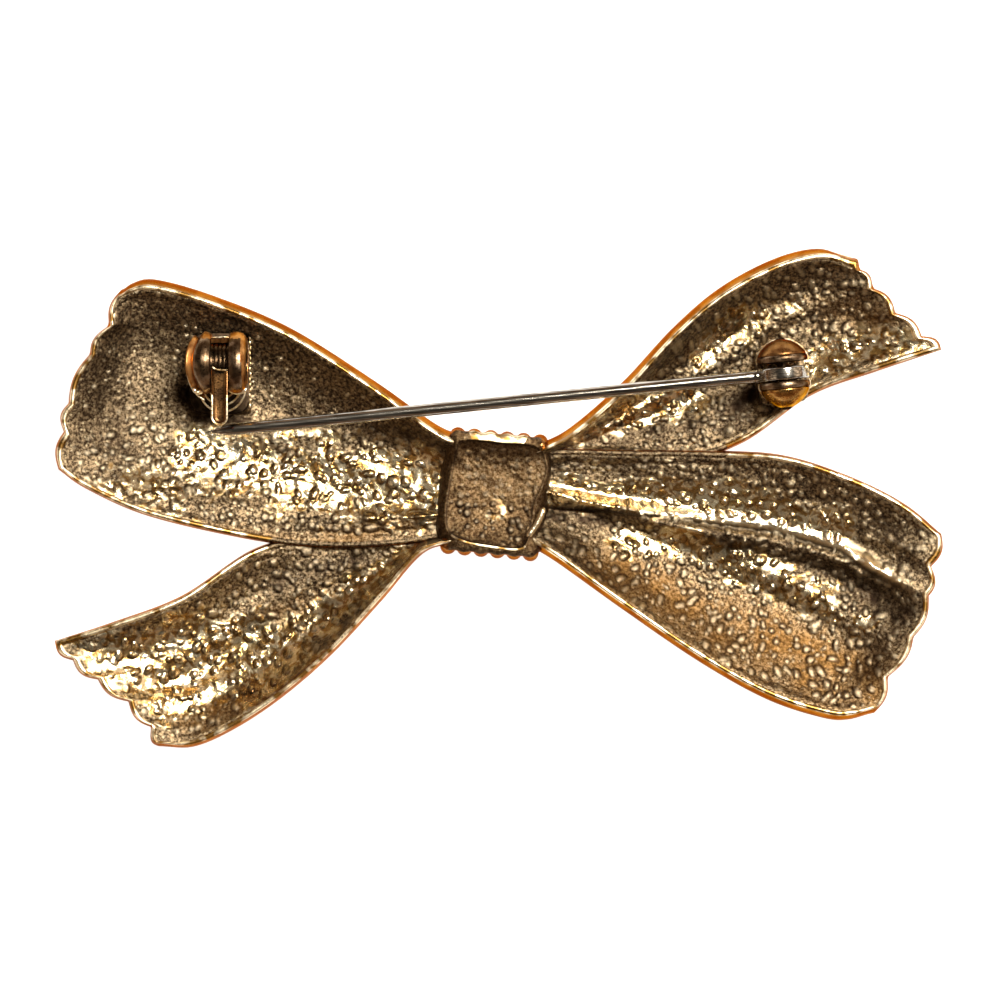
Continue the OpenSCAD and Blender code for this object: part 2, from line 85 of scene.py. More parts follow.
def new_finish(name):
    finish = bpy.data.materials.new(name)
    finish.use_nodes = True
    finish.node_tree.nodes.clear()
    return finish, finish.node_tree


def per_mm(size):
    """Scale of a pattern whose features are this many millimetres apart."""
    return 1000 / size


COLOUR_MIX = {"data_type": "RGBA"}
SMOOTH = {"interpolation_type": "SMOOTHSTEP"}


def sand_cast_gold():
    # White metal cast in a rubber mould and gold plated. The hollow back is never polished, so it
    # keeps the mould's grain: pits go brown with tarnish. Nub tops and specks are painted pale as glints,
    # painted highlights, and dark paint adds shade and shadows to the tarnish.
    finish, tree = new_finish("sand_cast_gold")
    place = add(tree, "ShaderNodeTexCoord").outputs["Object"]
    painted_glint, dull_and_shaded, tarnish_and_shade, warmth = (
        add(tree, "ShaderNodeAttribute", {"attribute_name": name}).outputs["Fac"]
        for name in ("painted_glint", "dullness_and_shade", "tarnish_and_shade", "warmth"))
    # clouds of wear, the grit of the mould, and the dimples of metal that ran into it
    cloud, grit, dimples = (
        add(tree, "ShaderNodeTexNoise", None, {"Vector": place, "Scale": per_mm(size), **grain}).outputs[0]
        for size, grain in ((1.6, {"Detail": 3.0}),
                            (0.24, {"Detail": 4.0, "Roughness": 0.75}),
                            (0.55, {"Detail": 1.0, "Distortion": 0.6})))
    # the highest grains get pale specks, partly worn tops and partly painted glints; real ones are finer
    # than the picture shows
    grains = add(tree, "ShaderNodeTexVoronoi", None, {"Vector": place, "Scale": per_mm(0.42)}).outputs[0]
    grain_glints_and_wear, pits, raised, wear = (
        add(tree, "ShaderNodeMapRange", SMOOTH, {
            "Value": pattern, "From Min": low, "From Max": high, "To Max": most}).outputs[0]
        for pattern, low, high, most in ((grains, 0.30, 0.12, 0.55), (grit, 0.40, 0.64, 1.0),
                                         (dimples, 0.42, 0.60, 1.0), (cloud, 0.46, 0.70, 0.7)))
    # each layer goes from its first colour to its second, by its share
    layer = {}
    for name, share, under, over in (
            ("clean", raised, linear("ac8850"), linear("fff2d0")),
            ("worn", wear, "clean", linear("e4cc98")),
            ("pitted_brown", pits, linear("2e241b"), linear("a08c6e")),
            ("stained", grain_glints_and_wear, "pitted_brown", linear("dccaa4")),
            # dull brown against pale bright metal: the pale is partly a painted sheen, the brown partly
            # painted shade
            ("mixed", dull_and_shaded, "worn", "stained"),
            # a darker orange-brown by the warm share: an even tone on the knot, painted shade in the hollows
            ("orange", pits, linear("523a1e"), linear("88683e")),
            ("warm", warmth, "mixed", "orange"),
            # nub tops, ridges and spots painted cream: painted highlights
            ("topped", painted_glint, "warm", linear("f4e6c6")),
            # nearly black by the dark share: real tarnish, and painted shade and shadow
            ("shaded_and_tarnished", tarnish_and_shade, "topped", linear("2a2018"))):
        layer[name] = add(tree, "ShaderNodeMix", COLOUR_MIX, {
            0: share, 6: layer.get(under, under), 7: layer.get(over, over)}).outputs[2]
    rough, gritty = (
        add(tree, "ShaderNodeMapRange", None, {"Value": dull_and_shaded, "To Min": least, "To Max": most}).outputs[0]
        for least, most in ((0.27, 0.40), (0.25, 0.9)))
    dimpled = add(tree, "ShaderNodeBump", None, {"Height": dimples, "Strength": 0.5, "Distance": 0.08 * MM})
    pitted = add(tree, "ShaderNodeBump", None, {
        "Height": grit, "Strength": gritty, "Distance": 0.09 * MM, "Normal": dimpled.outputs[0]})
    metal = add(tree, "ShaderNodeBsdfPrincipled", None, {
        "Base Color": layer["shaded_and_tarnished"], "Metallic": 1.0, "Roughness": rough, "Normal": pitted.outputs[0]})
    add(tree, "ShaderNodeOutputMaterial", None, {"Surface": metal.outputs[0]})
    return finish


def polished_metal(name, light, dark, roughness, wave_mm, wave_height, grazing="ffffff"):
    # A plated surface that was buffed: it mirrors what is round it, with the slight waviness that
    # buffing leaves, and its colour deepens where polish and plating are thinner. Seen along the
    # surface it takes the grazing colour.
    finish, tree = new_finish(name)
    place = add(tree, "ShaderNodeTexCoord").outputs["Object"]
    # the wide waves, and a fine grain that makes the mirror sharper here and softer there
    cloud, fine = (
        add(tree, "ShaderNodeTexNoise", None, {
            "Vector": place, "Scale": per_mm(size), "Detail": 2.0}).outputs[0]
        for size in (wave_mm, 0.12))
    thin = add(tree, "ShaderNodeMapRange", SMOOTH, {"Value": cloud, "From Min": 0.40, "From Max": 0.60})
    colour = add(tree, "ShaderNodeMix", COLOUR_MIX, {0: thin.outputs[0], 6: linear(dark), 7: linear(light)})
    rough = add(tree, "ShaderNodeMapRange", None, {
        "Value": fine, "From Min": 0.3, "From Max": 0.7,
        "To Min": roughness * 0.7, "To Max": roughness * 1.4})
    wave = add(tree, "ShaderNodeBump", None, {"Height": cloud, "Strength": 0.5, "Distance": wave_height * MM})
    metal = add(tree, "ShaderNodeBsdfPrincipled", None, {
        "Base Color": colour.outputs[2], "Metallic": 1.0, "Roughness": rough.outputs[0],
        "Normal": wave.outputs[0], "Specular Tint": linear(grazing)})
    add(tree, "ShaderNodeOutputMaterial", None, {"Surface": metal.outputs[0]})
    return finish


def drawn_steel():
    # Hard steel wire pulled through a die: grey, with fine scratches along its length. They are
    # drawn 0.1 mm apart, coarser than real ones, so that they show.
    finish, tree = new_finish("drawn_steel")
    place = add(tree, "ShaderNodeTexCoord").outputs["Object"]
    along_wire = add(tree, "ShaderNodeMapping", None, {
        "Vector": place, "Rotation": (0, 0, math.radians(-5.8)), "Scale": (0.03, 1, 1)})
    lines = add(tree, "ShaderNodeTexNoise", None, {
        "Vector": along_wire.outputs[0], "Scale": per_mm(0.1), "Detail": 2.0}).outputs["Fac"]
    streaks = add(tree, "ShaderNodeMapRange", SMOOTH, {"Value": lines, "From Min": 0.4, "From Max": 0.6})
    colour = add(tree, "ShaderNodeMix", COLOUR_MIX, {
        0: streaks.outputs[0], 6: linear("7e7a72"), 7: linear("bab6ae")})
    scratch = add(tree, "ShaderNodeBump", None, {"Height": lines, "Strength": 0.3, "Distance": 0.01 * MM})
    metal = add(tree, "ShaderNodeBsdfPrincipled", None, {
        "Base Color": colour.outputs[2], "Metallic": 1.0, "Roughness": 0.17, "Normal": scratch.outputs[0]})
    add(tree, "ShaderNodeOutputMaterial", None, {"Surface": metal.outputs[0]})
    return finish


# Gold plate on the casting: rough in the hollows, rubbed pale on the rims, warm and half
# polished on the side walls, and mirror bright on the front.
cast_back = sand_cast_gold()
polished_rim = polished_metal("polished_rim", "fff2d0", "80602f", 0.34, 1.2, 0.05)
burnished_side = polished_metal("burnished_side", "a87848", "8a5e38", 0.28, 1.6, 0.03, "c89468")
polished_front = polished_metal("polished_front", "e8c070", "e0b464", 0.18, 2.5, 0.02)
# Brass findings whose plating has aged: bronze where fingers rub it. Their ends and flanks are painted
# orange, a painted reflection of the gold casting; the plate, jaws and rivet are painted nearly black as
# shadow; and the thin edges are painted pale as highlights.
catch_bronze = polished_metal("catch_bronze", "8c7862", "483828", 0.32, 1.2, 0.01, "907458")
catch_orange_reflection = polished_metal("catch_orange_reflection", "b48450", "885c34", 0.38, 0.8, 0.02, "c8986c")
lever_bronze = polished_metal("lever_bronze", "4c3c2c", "30261a", 0.26, 1.0, 0.01, "6c5840")
tab_brown = polished_metal("tab_brown", "765634", "4c3622", 0.30, 0.9, 0.02, "a08058")
painted_shadow_plate = polished_metal("painted_shadow_plate", "44372a", "251d15", 0.36, 0.7, 0.02, "6c5844")
hinge_gold = polished_metal("hinge_gold", "c89c5c", "8c6434", 0.22, 0.9, 0.02, "d8b078")
hinge_shaded_brown = polished_metal("hinge_shaded_brown", "8c6840", "704c2c", 0.34, 1.2, 0.02, "b08860")
pale_highlight_edge = polished_metal("pale_highlight_edge", "fff4d8", "dcbc88", 0.30, 0.5, 0.01)
wire_steel = drawn_steel()


# Measures

# The ribbons' plan places are shares of a reach along X and of a spread along Y.
LOOP_REACH = 32.4
LOOP_SPREAD = 16.0
TAIL_REACH = 32.4
TAIL_SPREAD = 18.3
WALL = 1.3                   # thickness of the casting
EDGE_H = 1.6                 # height of the side wall under the rim
RIM_W = 0.35
RIM_ROUND = 0.1
FLARE = 0.5                  # how far the side wall leans in from the front's edge to the rim
END_FLARE = 0.6              # share of that lean at the scalloped end
WIDEST_RIMS = 0.6            # most of a ribbon's width that its rims and their lean may take
FOLD_H = 0.9
RIB_H = 0.35                 # ribs on the front, one for each scallop
SCALLOP_H = 0.45
DOME_POWER = 0.7             # below 1 the front is fuller than a sine
SAUCER_POWER = 1.15          # above 1 the hollow is shallow by the rims
END_FROM = 0.7               # share of the length from which a ribbon widens to its scallops
END_STEP = 0.05              # share of the length over which its end is measured
FILLET = 0.6                 # from the rim down to the hollow, at the sides and at the end
END_FILLET = 4.0
SIDE_FADE = 3.0              # how far in from its sides a hollow's heights follow the front's
JOINED_TO = 16.8             # how far out a loop and a tail lie side by side
SPACING = 0.10

KNOT_AT = (-0.28, 0.35)
KNOT_W = 8.2
KNOT_H = 8.6
KNOT_ROUND = 1.5
KNOT_TOP = RIM_H + 0.15
KNOT_LEAN = math.radians(-5)
RIB_PITCH = 1.2
RIBS = 6
# The edge of the knot's hollow, from its right side round by the top
KNOT_HOLLOW = [(3.15, 0.9), (3.5, 2.3), (2.8, 3.7), (0.3, 4.0), (-2.5, 4.2), (-3.05, 3.4),
               (-3.4, 1.5), (-3.75, -0.7), (-3.6, -2.3), (-2.4, -3.05), (-0.6, -3.4), (1.5, -3.6),
               (2.2, -2.8), (2.6, -0.4)]
KNOT_MIDDLE = (-0.3, 0.35)

PIN_Z = 6.05                 # height of the pin's axis, the rivet's and the barrel's
HINGE_AT = (20.6, 9.0)
CATCH_AT = (-20.0, 9.75)
PIN_LEAN = math.radians(5.801)
BASE_T = 0.75
CATCH_SEAT_Z = 3.0
HINGE_SEAT_Z = 3.3

# Rows from the knot to the end: the upper edge's reach and rise, the lower edge's reach and rise,
# both rims' heights, and the depth of the hollow. Notches: place across, and how far out. Folds:
# place across at the root and at the end, rise, width, and where along the ribbon and how long.
LEFT_LOOP = dict(
    side=-1, reach=LOOP_REACH, spread=LOOP_SPREAD, flare=(1, 0.3), joined="lower",
    rows=[[.080, .290, .080, -.140, .90, .60, .35], [.140, .340, .140, -.190, 1, .60, .60],
          [.280, .540, .280, -.225, 1, .62, .85], [.465, .775, .450, -.220, 1, .62, 1],
          [.635, .920, .625, -.160, 1, .95, 1], [.765, .995, .800, -.070, 1, 1, .90],
          [.835, .985, .925, .045, 1, 1, .60], [.872, .965, .985, .130, 1, 1, .25]],
    notches=[[0, -2.0], [.20, -1.55], [.37, .25], [.65, 1.50], [.80, 1.00], [1, .10]],
    folds=[[.80, 1.00, 1.0, .07, .35, .40], [.62, .42, .5, .10, .60, .45]])
RIGHT_LOOP = dict(
    side=1, reach=LOOP_REACH, spread=LOOP_SPREAD, flare=(0.3, 0.8), joined="upper",
    rows=[[.080, .215, .070, -.215, .70, .90, .35], [.140, .230, .135, -.295, .70, 1, .60],
          [.280, .225, .280, -.505, .70, 1, .85], [.465, .220, .450, -.740, .74, 1, 1],
          [.635, .200, .600, -.910, .90, 1, 1], [.785, .105, .725, -.995, 1, 1, .90],
          [.910, -.020, .800, -1.010, 1, 1, .60], [.995, -.160, .868, -.990, 1, 1, .25]],
    notches=[[0, 0], [.18, .10], [.33, 1.10], [.56, .80], [.80, -1.35], [1, -1.80]],
    folds=[[.42, .32, 1.2, .05, .55, .60], [.28, .64, .8, .07, .65, .35]])
LEFT_TAIL = dict(
    side=-1, reach=TAIL_REACH, spread=TAIL_SPREAD, flare=(0.3, 0.45), joined="upper",
    rows=[[.080, -.115, .080, -.180, .50, .85, .20], [.155, -.140, .165, -.215, .50, 1, .40],
          [.295, -.150, .260, -.405, .50, 1, .80], [.430, -.150, .370, -.615, .50, 1, 1],
          [.555, -.205, .480, -.785, .75, 1, 1], [.710, -.385, .585, -.910, .95, 1, .90],
          [.865, -.490, .680, -.985, 1, 1, .55], [.995, -.565, .760, -.985, 1, 1, .20]],
    notches=[[0, 0], [.18, .20], [.39, -.45], [.64, -1.45], [.87, -1.20], [1, 0]],
    folds=[[.35, .40, .5, .10, .60, .35], [.60, .70, .4, .08, .75, .30]])
RIGHT_TAIL = dict(
    side=1, reach=TAIL_REACH, spread=TAIL_SPREAD, flare=(1, 0.3), joined="lower",
    rows=[[.080, .210, .080, .120, .85, .57, .20], [.160, .280, .155, .150, 1, .57, .40],
          [.280, .465, .295, .150, 1, .60, .80], [.390, .675, .430, .150, 1, .60, 1],
          [.495, .835, .560, .230, 1, .64, 1], [.615, .950, .705, .410, 1, .68, .90],
          [.725, 1, .850, .505, 1, .90, .55], [.802, .975, .995, .590, 1, 1, .20]],
    notches=[[0, -1.2], [.10, -1.40], [.29, -1.55], [.55, -1.45], [.82, -.80], [1, 0]],
    folds=[[.45, .40, .6, .08, .60, .40], [.70, .66, .4, .08, .75, .30]])

# Where each hollow is painted: strokes from x, y to x, y, with their reach and their strength. The
# first kind makes the metal smoother and paints it pale, partly polish and partly a painted sheen; the
# warm kind paints a darker orange-brown as painted shade; the dark kind paints shade and shadows,
# with some tarnish.
LEFT_LOOP_ZONES = dict(
    polish_and_sheen=[(-4, 0.8, -15, 1.6, 2.6, 1.0), (-15, 1.8, -22, 3.0, 1.8, 1.0),
            (-22, 1.2, -28, 1.0, 1.5, 0.6), (-28, -1.0, -22, -1.8, 0.9, 0.5)],
    warm=[(-29, -1.8, -12, -4.0, 1.0, 0.7), (-12, -3.0, -5, -1.8, 0.8, 0.6)],
    # the first two dark strokes are the catch's painted shadow
    shaded_and_tarnished=[(-22.7, 7.6, -21.6, 5.9, 0.9, 0.95), (-21.0, 6.2, -18.6, 5.6, 0.7, 0.9),
               (-9, 5.4, -4, 3.6, 0.9, 0.6), (-28, 9.5, -22, 12.8, 2.0, 0.3),
               (-15, 6.0, -9, 6.5, 1.3, 0.3), (-28.5, 7.5, -27.5, 2.5, 2.6, 0.72),
               (-30.6, 4.0, -31.0, 0.5, 0.8, 0.5)],
    # pale spots at the left end: painted highlights
    painted_spots=[(-28.2, 6.6, -23.8, 4.4, 2.0, 1.0), (-29.5, 1.5, -25.5, 2.4, 1.6, 0.9)])
RIGHT_LOOP_ZONES = dict(
    polish_and_sheen=[(4.5, 0.3, 18, -0.1, 1.15, 1.0), (18, -0.4, 24.5, -2.0, 1.15, 1.0),
            (8.5, -2.9, 16, -3.8, 1.0, 0.95), (17, -4.4, 24, -7.6, 1.3, 1.0), (24, -8, 27, -9.5, 1.0, 0.5)],
    warm=[(8, -5.2, 17, -9.5, 2.0, 0.85), (17, -9.5, 26, -13.4, 2.6, 0.9), (5, -3.2, 8, -5.2, 1.0, 0.6)],
    shaded_and_tarnished=[(15.5, -2.9, 23, -4.6, 1.0, 0.75), (23.5, -5.2, 29.5, -8.2, 1.4, 0.7),
               # painted shade beside the knot
               (3.6, -1.3, 8, -1.7, 0.7, 0.75), (3.4, 3.0, 11, 2.5, 0.8, 0.6),
               (27.5, -1.0, 30.5, -4.6, 1.1, 0.45), (28, -8.0, 27.5, -12, 0.8, 0.4)])
LEFT_TAIL_ZONES = dict(
    polish_and_sheen=[(-27, -11.6, -15, -11.4, 2.8, 1.0), (-14, -9.5, -6, -4.0, 1.2, 0.9),
            (-24, -14.6, -17, -13.8, 1.5, 0.9)],
    warm=[(-22, -15.8, -12, -12, 1.2, 0.7), (-18, -9, -12, -7.5, 0.8, 0.5)],
    shaded_and_tarnished=[(-16, -6.2, -9, -4.2, 0.9, 0.6), (-30, -10.6, -22, -9.0, 0.6, 0.4)])
RIGHT_TAIL_ZONES = dict(
    polish_and_sheen=[(6, 5.4, 14, 7.2, 1.1, 0.9), (15, 10.5, 18, 12.6, 1.1, 0.7),
            (22, 9.8, 30, 11.6, 1.3, 0.95), (17, 13.0, 22, 14.2, 0.8, 0.6)],
    warm=[(24, 13.5, 28, 13.0, 1.2, 0.5)],
    # the second dark stroke is the hinge's painted shadow
    shaded_and_tarnished=[(8, 4.2, 18, 6.4, 1.5, 0.5), (17.7, 6.9, 19.3, 7.9, 1.0, 0.9), (11, 9.5, 17, 13.0, 0.9, 0.3)])
# The pleat that runs along the right loop
PLEAT = [(3.2, -0.35), (8.5, -0.6), (12.6, -1.1), (16.3, -1.6), (19.7, -2.0), (22.2, -2.65), (25, -3.5),
         (27.2, -5.0), (30, -6.6)]


# Lines and waves

def mix(a, b, t):
    return a + (b - a) * t


def ease(t):
    x = np.clip(t, 0, 1)
    return x * x * (3 - 2 * x)


def bell(x):
    return np.exp(-x * x)


def smooth(a, b, c, d, x):
    """From b to c by the share x, on a smooth curve through all four."""
    bend = (2 * a - 5 * b + 4 * c - d) * x ** 2 / 2
    return b + (c - a) * x / 2 + bend + (3 * b - a - 3 * c + d) * x ** 3 / 2


def along_rows(rows, place):
    """Reads rows of numbers at in-between places, counted in rows, on a smooth curve through them."""
    rows = np.array(rows, float)
    rows = np.vstack([2 * rows[0] - rows[1], rows, 2 * rows[-1] - rows[-2]])
    i = np.clip(np.floor(place).astype(int), 0, len(rows) - 4)
    return smooth(rows[i], rows[i + 1], rows[i + 2], rows[i + 3], (place - i)[..., None])


def smooth_line(places, count):
    """A smooth curve through a few places."""
    return along_rows(places, np.linspace(0, len(places) - 1, count))


def smooth_loop(places, count):
    """A smooth closed curve through a few places."""
    p = np.array(places, float)
    n = len(p)
    x = np.linspace(0, n, count, endpoint=False)
    i = np.floor(x).astype(int)
    return smooth(p[(i - 1) % n], p[i % n], p[(i + 1) % n], p[(i + 2) % n], (x - i)[:, None])


def off_segment(x, y, ax, ay, bx, by):
    """Distance from a straight line between two places."""
    lx, ly = bx - ax, by - ay
    t = np.clip(((x - ax) * lx + (y - ay) * ly) / (lx * lx + ly * ly), 0, 1)
    return np.hypot(x - ax - t * lx, y - ay - t * ly)


def beside_line(x, y, line):
    """Signed distance from a line of places, positive above it."""
    nearest = np.full_like(x, 1e9)
    signed = np.zeros_like(x)
    for (ax, ay), (bx, by) in zip(line[:-1], line[1:]):
        off = off_segment(x, y, ax, ay, bx, by)
        above = np.sign((bx - ax) * (y - ay) - (by - ay) * (x - ax))
        signed = np.where(off < nearest, off * above, signed)
        nearest = np.minimum(off, nearest)
    return signed


def scatter(x, y, seed):
    """A repeatable number from 0 to 1 for each whole-numbered place."""
    value = np.sin(x * 127.1 + y * 311.7 + seed * 74.7) * 43758.5453
    return value - np.floor(value)


def waviness(x, y, size, seed):
    """Smooth random waves, -1 to 1, of this size in millimetres."""
    gx, gy = x / size, y / size
    ix, iy = np.floor(gx), np.floor(gy)
    fx, fy = ease(gx - ix), ease(gy - iy)
    near = mix(scatter(ix, iy, seed), scatter(ix + 1, iy, seed), fx)
    far = mix(scatter(ix, iy + 1, seed), scatter(ix + 1, iy + 1, seed), fx)
    return 2 * mix(near, far, fy) - 1


def waves(x, y, *layers):
    """Waves on waves, each with its height, size and seed."""
    return sum(height * waviness(x, y, size, seed) for height, size, seed in layers)


NUB_RISE = 0.62              # a nub's height for each millimetre of its radius
NUB_STRAY = 0.7              # how far a nub may lie from the middle of its own square


def nubs(x, y, pitch, share, smallest, largest, seed):
    """Round cast nubs: their height in millimetres, how far up a nub a place is, and the ring at its foot."""
    height, topness, ring = np.zeros_like(x), np.zeros_like(x), np.zeros_like(x)
    ix, iy = np.floor(x / pitch), np.floor(y / pitch)
    for dx in (-1, 0, 1):
        for dy in (-1, 0, 1):
            cx, cy = ix + dx, iy + dy
            px = (cx + 0.5 + NUB_STRAY * (scatter(cx, cy, seed) - 0.5)) * pitch
            py = (cy + 0.5 + NUB_STRAY * (scatter(cx, cy, seed + 1) - 0.5)) * pitch
            r = mix(smallest, largest, scatter(cx, cy, seed + 2))
            there = scatter(cx, cy, seed + 3) < share
            off = np.hypot(x - px, y - py) / r
            bump = np.where(there, np.clip(1 - off ** 2, 0, 1) ** 0.6, 0)
            height = np.maximum(height, bump * r * NUB_RISE)
            topness = np.maximum(topness, bump)
            ring = np.maximum(ring, np.where(there, bell((off - 1.02) / 0.2), 0))
    return height, topness, ring


def stretches(x, y, strokes):
    """Soft strokes from place to place: 1 on them, 0 away from them."""
    share = np.zeros_like(x)
    for *ends, reach, strength in strokes:
        share = np.maximum(share, strength * bell(off_segment(x, y, *ends) / reach))
    return np.clip(share * (1 + waves(x, y, (0.45, 1.3, 91), (0.2, 0.5, 92))), 0, 1)


def patchy(share, x, y):
    """Breaks a soft share up into small patches with crisp edges."""
    ragged = waves(x, y, (0.5, 0.8, 93), (0.4, 0.36, 94))
    return ease((share + ragged * (0.15 + 3 * share * (1 - share)) - 0.2) / 0.35)


# Outlines of ribbons and knot

def ribbon_section(lobe, s):
    """The edges, rim heights and depth at the share s of the ribbon's length."""
    return along_rows(lobe["rows"], np.asarray(s, float) * (len(lobe["rows"]) - 1))


def scallop_bulge(lobe, t):
    at = np.array(lobe["notches"])[:, 0]
    i = np.clip(np.searchsorted(at, t, side="right") - 1, 0, len(at) - 2)
    return np.abs(np.sin(np.pi * (t - at[i]) / (at[i + 1] - at[i])))


def ribbon_plan(lobe, s, t, inset=0):
    """Plan place of the shares s along and t across, drawn towards +X."""
    sec = ribbon_section(lobe, s)
    ax, ay = sec[..., 0] * lobe["reach"], sec[..., 1] * lobe["spread"]
    bx, by = sec[..., 2] * lobe["reach"], sec[..., 3] * lobe["spread"]
    span = np.hypot(ax - bx, ay - by)
    notches = np.array(lobe["notches"])
    out = SCALLOP_H * (np.interp(t, notches[:, 0], notches[:, 1]) + scallop_bulge(lobe, t))
    push = (out - inset) * ease((s - END_FROM) / (1 - END_FROM))
    return mix(ax, bx, t) + (ay - by) / span * push, mix(ay, by, t) + (bx - ax) / span * push


def ribbon_heights(lobe, s, t):
    """Heights of the rim, of the front and of the hollow's floor."""
    sec = ribbon_section(lobe, s)
    rim = RIM_H * mix(sec[..., 4], sec[..., 5], t)
    across = np.sin(np.pi * np.clip(t, 0, 1))
    dome = across ** DOME_POWER
    ridges = sum(rise * bell((t - mix(root, end, s)) / width) * bell((s - middle) / length)
                 for root, end, rise, width, middle, length in lobe["folds"])
    front, floor = (RIB_H + (rim - EDGE_H - RIB_H) * (1 - sec[..., 6] * curve) + FOLD_H * ridges * dome
                    for curve in (dome, across ** SAUCER_POWER))
    front = np.maximum(0, front - RIB_H * scallop_bulge(lobe, t) * dome)
    return rim, front, np.minimum(floor + WALL, rim - RIM_W)


def around_knot(x, y):
    """Distance and direction of a place from the knot's middle."""
    dx, dy = x - KNOT_MIDDLE[0], y - KNOT_MIDDLE[1]
    return np.hypot(dx, dy), np.arctan2(dy, dx)


hollow_reach, hollow_turn = around_knot(*smooth_loop(KNOT_HOLLOW, 400).T)
order = np.argsort(hollow_turn)
hollow_reach, hollow_turn = hollow_reach[order], hollow_turn[order]


def knot_hollow_reach(turn):
    return np.interp(turn, hollow_turn, hollow_reach, period=2 * math.pi)


def knot_side_reach(turn):
    """Reach of the knot's outer side, a rounded rectangle that leans."""
    c, s = np.abs(np.cos(turn - KNOT_LEAN)), np.abs(np.sin(turn - KNOT_LEAN))
    square = np.minimum(KNOT_W / 2 / np.maximum(c, 1e-6), KNOT_H / 2 / np.maximum(s, 1e-6))
    # rounded corners: the longest reach that stays inside each corner's circle
    mx, my = KNOT_W / 2 - KNOT_ROUND, KNOT_H / 2 - KNOT_ROUND
    on = c * mx + s * my
    inside = on ** 2 - (mx ** 2 + my ** 2 - KNOT_ROUND ** 2)
    corner = on + np.sqrt(np.maximum(inside, 0))
    at_corner = (c * square > mx) & (s * square > my)
    return np.where(at_corner, np.minimum(corner, square), square)


# Each seat: its height, middle, lean, half length, half width, and how far it lies off its middle
SEATS = {"left_loop": (CATCH_SEAT_Z, (CATCH_AT[0], CATCH_AT[1] - 0.65), 0, 1.9, 2.65, -0.2),
         "right_tail": (HINGE_SEAT_Z, HINGE_AT, PIN_LEAN, 1.5, 1.85, 0)}
SEAT_FADE = 0.3


def seat_share(x, y, at, lean, half_l, half_w, out):
    """1 on a flat seat, falling to 0 a little way outside it."""
    c, s = math.cos(-lean), math.sin(-lean)
    dx, dy = x - at[0], y - at[1]
    lx = np.abs(c * dx - s * dy - out) - half_l
    ly = np.abs(s * dx + c * dy) - half_w
    return 1 - ease(np.hypot(np.maximum(lx, 0), np.maximum(ly, 0)) / SEAT_FADE)


# Making pieces

def make_piece(name, points, faces, finishes, body, stands_for, face_finish, values):
    """A piece from points in millimetres; values are numbers that its finish reads at each point."""
    mesh = bpy.data.meshes.new(name)
    mesh.from_pydata(np.asarray(points, float) * MM, [], faces)
    mesh.polygons.foreach_set("material_index", np.asarray(face_finish, np.int32))
    for finish in finishes:
        mesh.materials.append(finish)
    for key, numbers in values.items():
        mesh.attributes.new(key, "FLOAT", "POINT").data.foreach_set("value", np.asarray(numbers, np.float32))
    mesh.polygons.foreach_set("use_smooth", np.full(len(mesh.polygons), True))
    mesh.update()
    piece = bpy.data.objects.new(name, mesh)
    bpy.context.scene.collection.objects.link(piece)
    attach(piece, body)
    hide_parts(stands_for)
    return piece


def grid_faces(rows, columns, base, up):
    i, j = np.meshgrid(np.arange(rows - 1), np.arange(columns - 1), indexing="ij")
    a = base + i * columns + j
    b, c, d = a + columns, a + columns + 1, a + 1
    corners = (a, d, c, b) if up else (a, b, c, d)
    return np.stack(corners, axis=-1).reshape(-1, 4)


def ring_faces(n, first, second):
    """Faces between two closed rings of n points, which begin at these numbers."""
    return [(first + j, first + (j + 1) % n, second + (j + 1) % n, second + j) for j in range(n)]


def unit_rows(rows):
    return rows / np.linalg.norm(rows, axis=1)[:, None]


def soften(profile, radius, steps=4, closed=True):
    """Rounds the corners of a line of places."""
    p = [np.array(q, float) for q in profile]
    rounded = []
    for k, corner in enumerate(p):
        if not closed and k in (0, len(p) - 1):
            rounded.append(corner)
            continue
        before, after = p[k - 1] - corner, p[(k + 1) % len(p)] - corner
        lb, la = np.linalg.norm(before), np.linalg.norm(after)
        r = min(radius, lb * 0.45, la * 0.45)
        start, stop = corner + before / lb * r, corner + after / la * r
        for t in np.linspace(0, 1, steps + 1):
            rounded.append((1 - t) ** 2 * start + 2 * t * (1 - t) * corner + t * t * stop)
    return np.array(rounded)


def shape(points, faces):
    """Points and faces with doubled points joined and the faces turned outwards."""
    mesh = bpy.data.meshes.new("rough_shape")
    mesh.from_pydata([tuple(map(float, p)) for p in points], [], faces)
    work = bmesh.new()
    work.from_mesh(mesh)
    bmesh.ops.remove_doubles(work, verts=work.verts, dist=0.0005)
    bmesh.ops.dissolve_degenerate(work, edges=work.edges, dist=0.0002)
    bmesh.ops.recalc_face_normals(work, faces=work.faces)
    work.verts.ensure_lookup_table()
    made = ([tuple(v.co) for v in work.verts], [tuple(v.index for v in f.verts) for f in work.faces])
    work.free()
    bpy.data.meshes.remove(mesh)
    return made


def all_round(r):
    return 0, 2 * math.pi


def turned(profile, place, arc=all_round, steps=96):
    """Turns a profile of (along, radius) round an axis; arc gives a radius its first and last angle."""
    n, whole = len(profile), arc is all_round
    points = [place(along, r, mix(*arc(r), k / steps))
              for k in range(steps if whole else steps + 1) for along, r in profile]
    faces = [face for k in range(steps) for face in ring_faces(n, k * n, (k + 1) * n % len(points))]
    if not whole:
        faces += [tuple(range(n)), tuple(range(steps * n, steps * n + n))]
    return shape(points, faces)


def loft(rings):
    """Joins closed loops of equal length into one closed shape."""
    n, last = len(rings[0]), len(rings) - 1
    faces = [face for k in range(last) for face in ring_faces(n, k * n, (k + 1) * n)]
    faces += [tuple(range(n)), tuple(range(last * n, last * n + n))]
    return shape([p for ring in rings for p in ring], faces)


